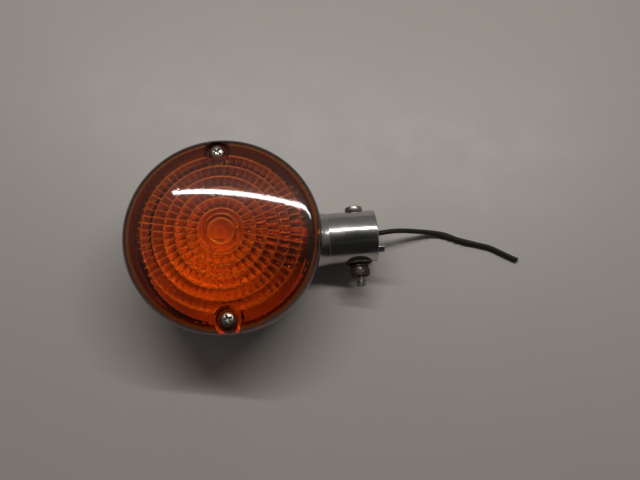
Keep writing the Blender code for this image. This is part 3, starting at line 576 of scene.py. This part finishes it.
CHROME = metal("chrome_plate", (0.60, 0.60, 0.585), (0.50, 0.49, 0.46), (0.11, 0.25),
               grain=90.0, fine=1800.0, dent=0.000012, pit=(900.0, 0.16, 0.22, (0.1, 0.08, 0.06)),
               haze=0.4)
MIRROR = metal("reflector_plate", (0.84, 0.82, 0.78), (0.62, 0.59, 0.55), (0.5, 0.68),
               grain=60.0)
SCREW_STEEL = metal("screw_steel", (0.62, 0.61, 0.57), (0.4, 0.37, 0.32), (0.22, 0.42),
                    grain=500.0, pit=(1800.0, 0.2, 0.3, (0.06, 0.045, 0.03)))
ZINC = metal("yellowed_zinc", (0.5, 0.45, 0.35), (0.4, 0.36, 0.3), (0.4, 0.6), grain=180.0)
BRASS = metal("socket_brass", (0.55, 0.41, 0.2), (0.34, 0.24, 0.11), (0.4, 0.65), grain=250.0)
SPRING = metal("spring_steel", (0.5, 0.5, 0.5), (0.36, 0.34, 0.31), (0.25, 0.45), grain=500.0)
LEAD = metal("lead_wire", (0.45, 0.42, 0.4), (0.3, 0.28, 0.26), (0.3, 0.5), grain=900.0)
TUNGSTEN = metal("tungsten", (0.22, 0.21, 0.21), (0.14, 0.13, 0.13), (0.35, 0.6), grain=1500.0)
SOLDER = metal("solder", (0.55, 0.55, 0.54), (0.36, 0.36, 0.35), (0.3, 0.55), grain=700.0)
BOLT = rust("bolt_steel", (0.42, 0.4, 0.36), (0.05, 0.033, 0.022), (0.11, 0.055, 0.03), 0.54)
# Rusted steel for the nut and washers, its colours also painted darker than the bolt's as shade
RUSTY_SHADED = rust("rusty_steel", (0.16, 0.15, 0.13), (0.03, 0.022, 0.016), (0.075, 0.04, 0.024), 0.42)
RUBBER = plain("black_rubber", (0.018, 0.018, 0.017), (0.04, 0.038, 0.035), (0.6, 0.9))
FIBRE = plain("brown_fibre", (0.16, 0.06, 0.03), (0.09, 0.04, 0.022), (0.55, 0.85))
COVER = plain("wire_cover", (0.016, 0.016, 0.011), (0.03, 0.029, 0.02), (0.5, 0.8),
              Specular_IOR_Level=0.3)
BLACK_GLASS = plain("cap_glass", (0.012, 0.012, 0.02), (0.03, 0.028, 0.035), (0.12, 0.3))
# The face and the prisms carry a painted shade, darker towards -Y
LENS_FACE = see_through("amber_face", (0.95, 0.4, 0.06), (0.9, 0.4, 0.09), (0.035, 0.07), 1.49,
                        gloss=0.16, rim_and_shade_tint=(0.5, 0.12, 0.014), scuff=0.000012)
# The prisms' paler edges are painted glints of the lamp
LENS_RELIEF = see_through("amber_relief", (0.3, 0.062, 0.006), (0.95, 0.6, 0.25), (0.04, 0.08),
                          1.49, clear=0.95, rim_and_shade_tint=(0.25, 0.05, 0.006),
                          ridge_tint=(1.0, 0.62, 0.24))
LENS_SIDE = see_through("amber_side", (0.2, 0.045, 0.006), (0.03, 0.008, 0.003), (0.05, 0.1),
                        1.49, clear=0.92, gloss=0.35)
BULB_GLASS = see_through("bulb_glass", (0.97, 0.98, 0.97), (0.96, 0.96, 0.96), (0.02, 0.06), 1.45)


# ---------------------------------------------------------------- camera

SENSOR_WIDTH, FOCAL_LENGTH = 36.0, 35.33
CAMERA_AT = (0.024774, -0.058767, 0.305194)
CAMERA_TURN = (11.6875, -2.4451, -5.3171)


def make_camera():
    """Look down on the part, from a little below its middle."""
    data = bpy.data.cameras.new("camera")
    data.sensor_width = SENSOR_WIDTH
    data.lens = FOCAL_LENGTH
    data.clip_start = 0.01
    camera = new_object("camera", data)
    camera.location = CAMERA_AT
    camera.rotation_euler = [math.radians(a) for a in CAMERA_TURN]
    bpy.context.scene.camera = camera


# ---------------------------------------------------------------- cord

TAIL_ROUTE = [
    (67.5, 1.2, 10.9), (70.8, 1.5, 11.2), (74.2, 1.9, 11.0), (77.6, 2.2, 10.4),
    (80.9, 2.4, 9.5), (84.1, 2.4, 8.4), (87.3, 2.3, 7.1), (90.6, 2.1, 5.8),
    (94.1, 1.9, 4.4), (97.6, 1.6, 3.1), (101.0, 1.2, 2.1), (104.3, 0.5, 1.5),
    (107.5, -0.7, 1.3), (111.1, -2.5, 1.3), (116.1, -4.4, 1.3), (122.0, -6.4, 1.3),
    (127.3, -8.2, 1.3), (131.6, -10.6, 1.3), (136.0, -13.3, 1.3), (140.5, -15.8, 1.3),
]
TAIL_R = 1.2
WAVES, WAVE_HEIGHT = 30, 0.06
TORN_AT, TORN_REACH, TORN_HEIGHT, RAGS = 0.56, 0.15, 1.5, 90


def tail_swell(share, out):
    """The scuffed stretch in the middle, with torn lumps on its near side, and slight waves."""
    wave = noise.noise(Vector((share * WAVES, out.y * 1.5, out.z * 1.5))) * WAVE_HEIGHT
    torn = max(0.0, 1 - ((share - TORN_AT) / TORN_REACH) ** 2)
    rag = max(0.0, noise.noise(Vector((share * RAGS, out.y * 2 + 5, out.z * 2))) + 0.08)
    near = max(0.0, -out.y) ** 1.5
    return wave - 0.02 + torn * rag * near * TORN_HEIGHT


def make_tail():
    """Lay the cut end of the feed wire from the stub onto the table."""
    path = smooth_path(TAIL_ROUTE, 16)
    tail = sweep("wire_tail_cover", path, TAIL_R, 20, tail_swell)
    finish(tail, COVER, "housing", "wire_tail", 50)


# ---------------------------------------------------------------- floor and light

FLOOR_R = 1500
TUBE_AT, TUBE_ALONG, TUBE_SIZE = (0.09, 0.283, 0.6), (1, -0.19, 0), (0.76, 0.017)
TUBE_RADIANCE, TUBE_TINT = 52.0, (1.0, 0.97, 0.93)

# The room's greys from -Y to +Y, their tint, and how they fade overhead from one Z to another
WALL_TONES = ((0.0, 0.03), (0.20, 0.03), (0.30, 0.16), (0.62, 0.4), (0.80, 0.46), (1.0, 0.36))
WALL_TINT = (1.0, 0.975, 0.945)
OVERHEAD_Z, OVERHEAD_STRENGTH = (0.8, 0.93), (0.4, 0.06)


def make_floor():
    """Lay the pale, slightly glossy table under the part."""
    floor = lathe("floor", [(0, 0), (FLOOR_R, 0)], 64)
    n = Surface("pale_table")
    cloud = n.ramp(n.noise(6.0, 4.0, 0.5), 0.3, 0.7)
    fleck = n.ramp(n.noise(60.0, 5.0, 0.6), 0.3, 0.75)
    shade = n.mix(fleck, n.mix(cloud, (0.545, 0.505, 0.475), (0.585, 0.545, 0.51)),
                  (0.56, 0.52, 0.49))
    n.principled(Base_Color=shade, Roughness=n.ramp(fleck, 0.0, 1.0, 0.36, 0.44))
    floor.data.materials.append(n.material)


def make_tube():
    """Hang the long lit tube above the far side of the part, and face it to the origin."""
    data = bpy.data.lights.new("tube", "AREA")
    data.shape = "RECTANGLE"
    data.size, data.size_y = TUBE_SIZE
    data.energy = TUBE_RADIANCE * math.pi * data.size * data.size_y
    data.color = TUBE_TINT
    lamp = new_object("tube", data)
    away = Vector(TUBE_AT).normalized()
    x_axis = Vector(TUBE_ALONG)
    x_axis = (x_axis - away * x_axis.dot(away)).normalized()
    turn = Matrix((x_axis, away.cross(x_axis), away)).transposed().to_4x4()
    lamp.matrix_world = Matrix.Translation(TUBE_AT) @ turn


def make_room():
    """Light the scene softly from around, with greys that stand for walls and a ceiling."""
    bpy.context.scene.view_settings.view_transform = "Standard"
    world = bpy.data.worlds.new("room")
    bpy.context.scene.world = world
    n = Tree(world)
    split = n.add("SeparateXYZ", n.add("TexCoord").outputs["Generated"])
    tones = n.add("ValToRGB", n.ramp(split.outputs["Y"], -1.0, 1.0))
    elements = tones.color_ramp.elements
    while len(elements) < len(WALL_TONES):
        elements.new(0.5)
    for element, (where, grey) in zip(elements, WALL_TONES):
        element.position = where
        element.color = (*(grey * part for part in WALL_TINT), 1)
    back = n.tree.nodes["Background"]
    n.set(back.inputs["Color"], tones)
    n.set(back.inputs["Strength"], n.ramp(split.outputs["Z"], *OVERHEAD_Z, *OVERHEAD_STRENGTH))


# ---------------------------------------------------------------- housing

def bowl_face_x(side, height):
    """Find how far out along X the bowl's face is, at a Y and a Z."""
    depth = min(max((BOWL_TOP_Z - height) / BOWL_TOP_Z, 0.0), 1.0)
    radius = PAD_R + (BOWL_R - PAD_R) * math.sqrt(1 - depth ** 2)
    return math.sqrt(max(radius ** 2 - side ** 2, 0.0))


def stub_line(angle):
    """List (x, distance from the stub's axis) points along the stub, at an angle round it."""
    wide_r, buried = STUB_R + FILLET_R, 3.0
    wide_x, tube_x = (bowl_face_x(r * math.cos(angle), STUB_Z + r * math.sin(angle))
                      for r in (wide_r, STUB_R))
    line = [(wide_x - buried, wide_r)]
    line += bezier((wide_x - 0.1, wide_r), (tube_x + 1.0, STUB_R + 1.1),
                   (FILLET_END_X, STUB_R + 0.15), 10)
    line += [(STEP_X, STUB_R + 0.1), (TUBE_X, STUB_R), (STUB_END_X - 8.0, STUB_R)]
    return line + bezier((STUB_END_X - STUB_EDGE_R, STUB_R), (STUB_END_X, STUB_R),
                         (STUB_END_X, STUB_R - STUB_EDGE_R), 5)


def make_stub():
    """Loft the stub out of the bowl, with a fillet that follows where they meet."""
    columns = []
    for angle in turns(FINE):
        columns.append([(x, r * math.cos(angle), STUB_Z + r * math.sin(angle))
                        for x, r in stub_line(angle)])
    return skin("stub", list(zip(*columns)))


def make_tang():
    """Make the key in the stub's end, which stops the stay from turning."""
    tang = box("tang", (STUB_END_X - 2, -TANG_HALF, BORE_R + 0.1),
               (STUB_END_X + TANG_OUT, TANG_HALF, STUB_R - 0.15))
    return roll(tang, TANG_ANGLE, "X", (0, 0, STUB_Z))


def make_housing():
    """Build the plated bowl and stub, hollow, with bosses, posts, bore and cross hole."""
    bead = arc((BOWL_R - BEAD_INSET, RIM_Z - BEAD_R), (BEAD_R, BEAD_R), 90, -45, 8)
    outside = arc((PAD_R, BOWL_TOP_Z), (BOWL_R - PAD_R, BOWL_TOP_Z), 0, -90, 22)
    housing = lathe("housing_shell", [(0, RIM_Z)] + bead + outside + [(0, 0)], FINE)
    combine(housing, make_stub(), "UNION")
    combine(housing, bevel(make_tang(), 0.25, 3), "UNION")
    inside = arc((PAD_R, BOWL_TOP_Z), (BOWL_R - WALL - PAD_R, BOWL_TOP_Z - WALL), 0, -90, 16)
    cavity = [(0, RIM_Z + 2), (BOWL_R - WALL, RIM_Z + 2)] + inside + [(0, WALL)]
    combine(housing, lathe("cavity", cavity, FINE))
    bore = lathe("bore", [
        (0, 80), (BORE_R + 3, 80), (BORE_R + 0.6, STUB_END_X + 0.1),
        (BORE_R + 0.12, STUB_END_X - 0.4), (BORE_R, STUB_END_X - 0.9), (BORE_R, BORE_START_X),
        (0, BORE_START_X)], FINE, "X", (0, 0, STUB_Z))
    combine(bore, make_tang())
    combine(housing, bore)
    clamp = (CLAMP_X, 0, STUB_Z)
    for side, axis in ((1, "Y"), (-1, "-Y")):
        at = (0, side * SCREW_Y, 0)
        boss = [(0, BOSS_TOP_Z), (BOSS_R, BOSS_TOP_Z), (BOSS_R, BOSS_LOW_Z), (0, BOSS_LOW_Z)]
        combine(housing, lathe("boss", boss, 32, "Z", at, soft=0.3), "UNION")
        drill(housing, BOSS_HOLE_R, BOSS_HOLE_Z, "Z", at)
        at = (POST_X, side * POST_Y, 0)
        combine(housing, rod("post", POST_R, POST_LOW_Z, DISH_FLOOR_Z - 0.3, "Z", at), "UNION")
        drill(housing, POST_HOLE_R, POST_HOLE_Z, "Z", at)
        drill(housing, CLAMP_SEAT_R, CLAMP_SEAT_Y, axis, clamp, 48)
    drill(housing, CROSS_HOLE_R, -CLEAR, "Y", clamp)
    finish(housing, CHROME, "housing", "housing", 32)


def make_reflector():
    """Press the dish, with notches round the bosses and a window for the socket."""
    def dish(inset):
        return arc((DISH_FLOOR_R, DISH_TOP_Z),
                   (DISH_R - DISH_FLOOR_R - inset, DISH_TOP_Z - DISH_FLOOR_Z - inset), 0, -90,
                   18)
    top = DISH_TOP_Z + DISH_WALL
    profile = [(0, DISH_FLOOR_Z + DISH_WALL)] + dish(DISH_WALL)[::-1]
    profile += [(DISH_R - DISH_WALL, top), (DISH_R, top)] + dish(0) + [(0, DISH_FLOOR_Z)]
    dished = lathe("reflector_dish", profile, FINE)
    for side in (1, -1):
        drill(dished, NOTCH_R, at=(0, side * SCREW_Y, 0))
        drill(dished, POST_HOLE_R, at=(POST_X, side * POST_Y, 0))
    combine(dished, box("window", (WINDOW_X, -WINDOW_HALF, 0), (CLEAR, WINDOW_HALF, CLEAR)))
    finish(dished, MIRROR, "housing", "reflector", 40)


# ---------------------------------------------------------------- lens

# Prisms inside the lens: the radii between their rings, where the mesh's rows lie across a
# ring, how many prisms each ring has, and how far each ring is turned from the one within it
CELL_RINGS = (0.0, 5.5, 9.7, 14.3, 19.0, 23.8, 28.6, 33.4, 38.2)
CELL_STEPS = (0, 0.07, 0.18, 0.34, 0.5, 0.66, 0.82, 0.93)
CELL_COUNTS = (1, 1, 26, 36, 46, 56, 66, 76)
CELL_SHIFT = 0.73
COLUMNS = 480
SLOPE = 0.33
OUTER_SHARE = 0.3

# The eye in the middle: its depth, its fall towards its edge, and the groove in it
EYE_DEPTH, EYE_FALL = 0.35, 0.3
GROOVE_R, GROOVE_WIDTH, GROOVE_DEPTH = 2.3, 0.8, 0.12

# Painted glints on the edges of the prisms: how steeply they fade, and the part of them that a
# lamp to one side leaves everywhere and the part that depends on the edge's direction
RING_POWER, SPOKE_POWER = 9, 5
GLINT_LEAST, GLINT_REST = 0.3, 0.7
# The painted glint in the eye's groove, and its width
GROOVE_GLINT, GROOVE_GLINT_WIDTH = 0.7, 0.3

RELIEF_INDEX, SIDE_INDEX = 1, 2
SIDE_TOP_Z = SHOULDER_Z + 5.0


def cap_line(curve_r, top_z, edge_r, rim_r, rim_z, steps, shoulder_steps):
    """List the points of a shallow cap that turns down over a shoulder to its rim."""
    line = []
    for step in range(steps + 1):
        radius = edge_r * step / steps
        line.append((radius, top_z - curve_r + math.sqrt(curve_r ** 2 - radius ** 2)))
    slope = edge_r / math.sqrt(curve_r ** 2 - edge_r ** 2)
    corner = (rim_r, line[-1][1] - slope * (rim_r - edge_r))
    return line + bezier(line[-1], corner, (rim_r, rim_z), shoulder_steps)[1:]


INNER_RADII, INNER_HEIGHTS = zip(*cap_line(
    CAP_CURVE_R - LENS_TOP_Z + INNER_TOP_Z, INNER_TOP_Z, INNER_CAP_EDGE_R, INNER_R,
    INNER_SHOULDER_Z, 60, 24))


def inner_height(radius):
    """Find the height of the lens's smooth inner face at a radius."""
    return float(np.interp(radius, INNER_RADII, INNER_HEIGHTS))


def bell(value, centre, width):
    """Rise to 1 at a centre and fall to 0 on both sides of it."""
    return math.exp(-((value - centre) / width) ** 2)


def cell_at(radius, angle):
    """Find a point's ring, and where it lies across and along its prism, from -1 to 1."""
    ring = max(k for k, edge in enumerate(CELL_RINGS[:-1]) if radius >= edge)
    low, high = CELL_RINGS[ring], CELL_RINGS[ring + 1]
    across = 2 * (radius - low) / (high - low) - 1
    along = (angle * CELL_COUNTS[ring] / math.pi + ring * CELL_SHIFT) % 2.0 - 1
    return ring, across, along


def relief(radius, angle):
    """Find the depth of the prisms on the lens's inner face, towards the bulb."""
    if radius >= CELL_RINGS[-1]:
        return 0.0
    ring, across, along = cell_at(radius, angle)
    if ring == 0:
        return (EYE_DEPTH - EYE_FALL * (radius / CELL_RINGS[1]) ** 2
                - GROOVE_DEPTH * bell(radius, GROOVE_R, GROOVE_WIDTH))
    depth = SLOPE * (CELL_RINGS[ring + 1] - CELL_RINGS[ring]) / 2 * (1 - across ** 2)
    if ring > 1:
        depth += SLOPE * radius * math.pi / CELL_COUNTS[ring] * (1 - along ** 2)
    return depth * OUTER_SHARE if ring == len(CELL_COUNTS) - 1 else depth


def mark_ridges(mesh):
    """Store painted glints: how near each point is to its prism's edge, for the paler tint there.
    """
    mark = mesh.attributes.new("ridge", "FLOAT", "POINT")
    for vertex, value in zip(mesh.vertices, mark.data):
        radius = math.hypot(vertex.co.x, vertex.co.y) / MM
        angle = math.atan2(vertex.co.y, vertex.co.x)
        if radius >= CELL_RINGS[-2] + 1.0:
            continue
        ring, across, along = cell_at(radius, angle)
        to_edge = abs(across) if ring else radius / CELL_RINGS[1]
        to_spoke = abs(along) if ring > 1 else 0.0
        # Painted glints: strongest on edges that run along X, the way the long lamp would glint
        # on them
        edges = to_edge ** RING_POWER * (GLINT_LEAST + GLINT_REST * abs(math.sin(angle)))
        spokes = to_spoke ** SPOKE_POWER * (GLINT_LEAST + GLINT_REST * abs(math.cos(angle)))
        eye = GROOVE_GLINT * bell(radius, GROOVE_R, GROOVE_GLINT_WIDTH)
        value.value = max(edges, spokes, eye)


def lens_space():
    """Make the hollow under the lens as one closed mesh, with the prisms pressed into its top."""
    radii = []
    for low, high in zip(CELL_RINGS, CELL_RINGS[1:]):
        radii += [low + (high - low) * step for step in CELL_STEPS]
    radii += [CELL_RINGS[-1]] + [r for r in INNER_RADII if r > CELL_RINGS[-1] + 0.1]
    rows = [[(0, 0, inner_height(0) - relief(0, 0))]]
    for radius in radii[1:]:
        dome = inner_height(radius)
        rows.append([(radius * math.cos(a), radius * math.sin(a), dome - relief(radius, a))
                     for a in turns(COLUMNS)])
    for radius, height in ((INNER_R, INNER_LOW_Z), (LIP_INNER_R, LIP_TOP_Z),
                           (LIP_INNER_R, LIP_LOW_Z - 2)):
        rows.append(circle(radius, height, COLUMNS))
    space = skin("lens_space", rows)
    for side in (1, -1):
        at = (0, side * SCREW_Y, 0)
        drill(space, COLUMN_R, COLUMN_LOW_Z, "Z", at, 40)
        drill(space, COLUMN_HEAD_R, COLUMN_HEAD_Z, "Z", at, 48)
    return space


def make_lens():
    """Mould the amber lens, and give its outside, its prisms and its side their own looks."""
    dome = cap_line(CAP_CURVE_R, LENS_TOP_Z, CAP_EDGE_R, LENS_R, SHOULDER_Z, 24, 20)
    skirt = bezier((LENS_R, LENS_LOW_Z + 0.5), (LENS_R, LENS_LOW_Z),
                   (LENS_R - 0.5, LENS_LOW_Z), 3)
    profile = dome + skirt + [(LIP_R, LENS_LOW_Z), (LIP_R, LIP_LOW_Z), (0, LIP_LOW_Z)]
    lens = lathe("lens_moulding", profile, FINE + FINE // 3)
    combine(lens, lens_space())
    for side in (1, -1):
        at = (0, side * SCREW_Y, 0)
        recess = [(0, CLEAR), (RECESS_R + RECESS_FLARE, CLEAR), (RECESS_R, RECESS_FLOOR_Z),
                  (0, RECESS_FLOOR_Z)]
        combine(lens, lathe("recess", recess, 48, "Z", at))
        drill(lens, LENS_HOLE_R, at=at)
    finish(lens, LENS_FACE, "lens", "lens", 55)
    lens.data.materials.append(LENS_RELIEF)
    lens.data.materials.append(LENS_SIDE)
    for face in lens.data.polygons:
        x, y, z = (c / MM for c in face.center)
        radius = math.hypot(x, y)
        from_screw = math.hypot(x, abs(y) - SCREW_Y)
        in_recess = z > RECESS_FLOOR_Z - 0.1 and from_screw < RECESS_R + 0.5
        inside = radius < INNER_R - 0.3 and z < inner_height(radius) + 0.05
        if inside and not in_recess:
            face.material_index = RELIEF_INDEX
        elif z < SIDE_TOP_Z:
            face.material_index = SIDE_INDEX
    # Paint glints on the prisms' edges
    mark_ridges(lens.data)


def make_lens_fixings():
    """Make the gasket, and the two lens screws with their fibre seals."""
    gasket = lathe("gasket_ring", [
        (GASKET_R, GASKET_HIGH_Z), (BOWL_R, GASKET_HIGH_Z), (BOWL_R, GASKET_LOW_Z),
        (GASKET_R, GASKET_LOW_Z)], FINE, ring=True, soft=0.25)
    finish(gasket, RUBBER, "housing", "lens_gasket")
    for side, word, turn in ((1, "top", 45), (-1, "bottom", 15)):
        seal = lathe("seal_" + word, [
            (SEAL_HOLE_R, SEAL_HIGH_Z), (SEAL_R, SEAL_HIGH_Z), (SEAL_R, SEAL_LOW_Z),
            (SEAL_HOLE_R, SEAL_LOW_Z)], 40, "Z", (0, side * SCREW_Y, 0), ring=True, soft=0.12)
        finish(seal, FIBRE, "lens", "lens_screw_washer_" + word)
        piece = screw("screw_" + word, 2.0, 23.8, 3.5, 2.4, 0.7)
        place_on(piece, "Z", (0, side * SCREW_Y, HEAD_SEAT_Z), turn)
        finish(piece, SCREW_STEEL, "lens_screw_" + word, "lens_screw_" + word, 30)


# ---------------------------------------------------------------- socket and bulb

def make_bracket():
    """Bend the bracket from its foot up into its upright, and screw it to the posts."""
    low = DISH_FLOOR_Z + DISH_WALL + FOOT_GAP
    high = low + PLATE
    near_x, bend_x = UPRIGHT_X - PLATE, UPRIGHT_X - BEND_R
    outline = [(FOOT_X, low)]
    outline += bezier((bend_x, low), (UPRIGHT_X, low), (UPRIGHT_X, low + BEND_R), 6)
    outline += [(UPRIGHT_X, UPRIGHT_TOP_Z), (near_x, UPRIGHT_TOP_Z)]
    outline += bezier((near_x, low + BEND_R), (near_x, high), (bend_x, high), 6)
    outline += [(FOOT_X, high)]
    plate = roll(extrude("bracket_plate", outline, -BRACKET_HALF, BRACKET_HALF), 90, "X")
    drill(plate, SOCKET_HOLE_R, 0, "X", (0, 0, BULB_Z), 64)
    for side in (1, -1):
        drill(plate, POST_HOLE_R, at=(POST_X, side * POST_Y, 0))
    bevel(plate, 0.12)
    finish(plate, ZINC, "housing", "socket_bracket")
    for side, word in ((1, "left"), (-1, "right")):
        piece = screw("foot_screw_" + word, 1.5, 5.5, 2.7, 1.7, 0.5)
        place_on(piece, "Z", (POST_X, side * POST_Y, high + 0.3), 30 * side)
        finish(piece, SCREW_STEEL, "housing", "bracket_screw_" + word, 30)


def make_socket():
    """Make the barrel with its two L slots, and the contact that slides in it on a spring."""
    at = (0, 0, BULB_Z)
    shell = lathe("socket_barrel", [
        (3.2, 38.0), (7.4, 38.0), (8.3, 37.1), (8.3, 27.1), (9.4, 27.1), (9.4, 26.5),
        (8.3, 26.5), (8.3, 19.1), (9.0, 18.8), (9.0, 18.5), (8.2, 18.5), (7.8, 18.9),
        (7.8, 36.9), (7.2, 37.5), (3.2, 37.5)], MEDIUM, "X", at, ring=True, soft=0.2)
    for side in (0, 180):
        for start_x, half, angle in ((21.7, 2.75, -10), (17.5, 1.3, -20)):
            slot = bevel(box("slot", (start_x, 5, -half), (25.9, 11, half)), 0.5)
            combine(shell, roll(slot, side + angle, "X", at))
    finish(shell, BRASS, "housing", "socket_shell")
    disc = lathe("fibre_disc", [(1.3, 33.9), (7.2, 33.9), (7.2, 32.5), (1.3, 32.5)], MEDIUM,
                 "X", at, ring=True, soft=0.2)
    finish(disc, FIBRE, "contact", "contact_disc")
    button = lathe("brass_button", [
        (0, 34.4), (1.0, 34.4), (1.0, 32.2), (2.6, 32.2), (2.6, 31.7), (2.1, 31.4), (0, 31.4)],
        40, "X", at, soft=0.15)
    finish(button, BRASS, "contact", "contact_button")
    coil = helix(SPRING_R, SPRING_START_X, SPRING_END_X, 3.5, 24)
    spring = sweep("socket_spring", [(x, y, BULB_Z + z) for x, y, z in coil], 0.25, 10)
    finish(spring, SPRING, "housing", "contact_spring", 60)
    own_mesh(spring)


def globe_line(radius, neck):
    """List points from the bulb's neck over its globe to the tip."""
    side = radius * math.sin(math.radians(45))
    waist_x = GLOBE_X + side
    corner = (neck, waist_x + (side - neck))
    waist = bezier((neck, corner[1] + 3.4), corner, (side, waist_x), 8)
    return [(neck, NECK_X)] + waist + arc((0, GLOBE_X), (radius, radius), 45, -90, 26)[1:]


def make_bulb_cap():
    """Make the bayonet cap with its two pins, its black glass plug and the solder contact."""
    at = (0, 0, BULB_Z)
    cap = lathe("bayonet_cap", [
        (4.4, 29.5), (5.4, 29.5), (7.5, 27.8), (7.5, 14.5), (7.0, 14.5), (7.0, 27.5),
        (5.2, 29.0), (4.4, 29.0)], MEDIUM, "X", at, ring=True, soft=0.25)
    for axis in ("Y", "-Y"):
        pin = lathe("pin", [(0, 8.4), (1.0, 8.4), (1.0, 7.2), (0, 7.2)], 32, axis,
                    (PIN_X, 0, BULB_Z), soft=0.2)
        combine(cap, pin, "UNION")
    finish(cap, BRASS, "bulb", "bulb_cap")
    seat = lathe("cap_glass_plug", [(0, 30.0), (3.2, 30.0), (4.1, 29.5), (4.1, 28.4), (0, 28.4)],
                 40, "X", at, soft=0.2)
    finish(seat, BLACK_GLASS, "bulb", "bulb_cap_insulator")
    drop = lathe("solder_drop", arc((0, 30.3), (2.1, 0.8), 90, 0, 10) + [(0, 30.3)], 40, "X", at)
    finish(drop, SOLDER, "bulb", "bulb_contact")


def make_bulb_glass():
    """Blow the hollow globe, and press the glass foot that carries the leads and filament."""
    at = (0, 0, BULB_Z)
    outline = globe_line(GLOBE_R - GLASS, NECK_R - GLASS)[::-1] + globe_line(GLOBE_R, NECK_R)
    glass = lathe("bulb_envelope", outline, MEDIUM, "X", at)
    finish(glass, BULB_GLASS, "bulb", "bulb_glass", 50)
    mount = lathe("stem_press", [
        (0, 19.4), (5.6, 19.4), (5.6, 18.8), (3.0, 17.6), (2.2, 14.0), (2.0, 7.0), (1.2, 6.2),
        (0, 6.2)], 40, "X", at, soft=0.5)
    finish(mount, BULB_GLASS, "bulb", "bulb_mount", 50)
    for side, word in ((1, "left"), (-1, "right")):
        route = [(5.8, 0.9), (3.5, 1.4), (0.0, 2.6), (-4.5, 3.2), (-5.5, 3.3), (-6.1, 3.3)]
        path = smooth_path([(x, side * y, BULB_Z) for x, y in route], 6)
        lead = sweep("lead_" + word, path, 0.25, 10)
        finish(lead, LEAD, "bulb", "filament_lead_" + word, 60)
    coil = helix(FILAMENT_R, -FILAMENT_HALF, FILAMENT_HALF, 7, 16)
    path = [(FILAMENT_X + x, y, BULB_Z + z) for y, x, z in coil]
    filament = sweep("filament_coil", path, 0.12, 8)
    finish(filament, TUNGSTEN, "bulb", "bulb_filament", 60)


# ---------------------------------------------------------------- clamp and wire

def make_clamp():
    """Put the rusty cross bolt through the stub, with its two washers."""
    centre = (CLAMP_X, 0, STUB_Z)
    bolt = screw("cross_bolt", 2.5, 35.6, 4.2, 2.9, 0.8, crown=0.35)
    place_on(bolt, "Y", (CLAMP_X, 12.0, STUB_Z), 20)
    finish(bolt, BOLT, "clamp_bolt", "clamp_bolt", 30)
    flat = lathe("flat_washer", [(2.8, -12.0), (6.0, -12.0), (6.0, -13.0), (2.8, -13.0)], 48,
                 "Y", centre, ring=True, soft=0.2)
    finish(flat, RUSTY_SHADED, "housing", "clamp_flat_washer")
    ring = lathe("split_washer", [(2.8, -13.3), (4.3, -13.3), (4.3, -14.5), (2.8, -14.5)], 48,
                 "Y", centre, ring=True, soft=0.15)
    cut = box("cut", (-0.35, -16, 1), (0.35, -12, 8))
    combine(ring, roll(cut, -35, "Y", centre))
    finish(ring, RUSTY_SHADED, "housing", "clamp_spring_washer")


def make_nut():
    """Make the hexagon nut on the bolt's far end, with both faces chamfered."""
    across, near_y, far_y = 8.0, -14.8, -19.0
    corner_r = across / 2 / math.cos(math.pi / 6)
    outline = [(corner_r * math.cos(a), corner_r * math.sin(a)) for a in turns(6)]
    nut = extrude("hex_nut", outline, far_y, near_y)
    trim = lathe("trim", [
        (0, near_y), (3.85, near_y), (4.7, near_y - 0.55), (4.7, far_y + 0.55), (3.85, far_y),
        (0, far_y)], 64)
    combine(nut, trim, "INTERSECT")
    hole = lathe("hole", [(0, -10), (3.3, -14.0), (2.8, -15.1), (2.8, -18.7), (3.3, -19.8),
                          (0, -24)], 40)
    combine(nut, hole)
    bevel(nut, 0.12, angle=30)
    place_on(nut, "Y", (CLAMP_X, 0, STUB_Z))
    finish(nut, RUSTY_SHADED, "clamp_nut", "clamp_nut", 30)


INNER_ROUTE = [
    (34.7, 0.0, 21.0), (38.5, 0.0, 21.0), (41.2, 0.0, 20.1), (43.6, 0.0, 18.8),
    (46.0, 0.0, 18.5), (48.6, 0.0, 18.2), (52.0, 0.2, 15.2), (55.2, 0.4, 11.8),
    (58.4, 0.6, 10.0), (62.0, 0.8, 9.8), (64.8, 1.0, 10.4), (67.2, 1.2, 10.9),
]
INNER_WIRE_R, WIRE_HOLE_R, WIRE_HOLE_Z = 1.15, 1.75, 18.5


def make_wire():
    """Lead the wire from the contact through the grommet and the stub to its cut tail."""
    wire = sweep("inner_wire", smooth_path(INNER_ROUTE, 8), INNER_WIRE_R, 16)
    finish(wire, COVER, None, "feed_wire", 60)
    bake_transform(wire)
    plug = lathe("grommet", [
        (0, 47.0), (9.2, 47.0), (9.9, 46.5), (9.9, 44.7), (9.2, 44.2), (0, 44.2)], MEDIUM,
        "X", (0, 0, STUB_Z), soft=0.3)
    drill(plug, WIRE_HOLE_R, 0, "X", (0, 0, WIRE_HOLE_Z))
    finish(plug, RUBBER, "housing", "bore_grommet")


make_camera()
make_tail()
make_floor()
make_tube()
make_room()
make_housing()
make_reflector()
make_lens()
make_lens_fixings()
make_bracket()
make_socket()
make_bulb_cap()
make_bulb_glass()
make_clamp()
make_nut()
make_wire()
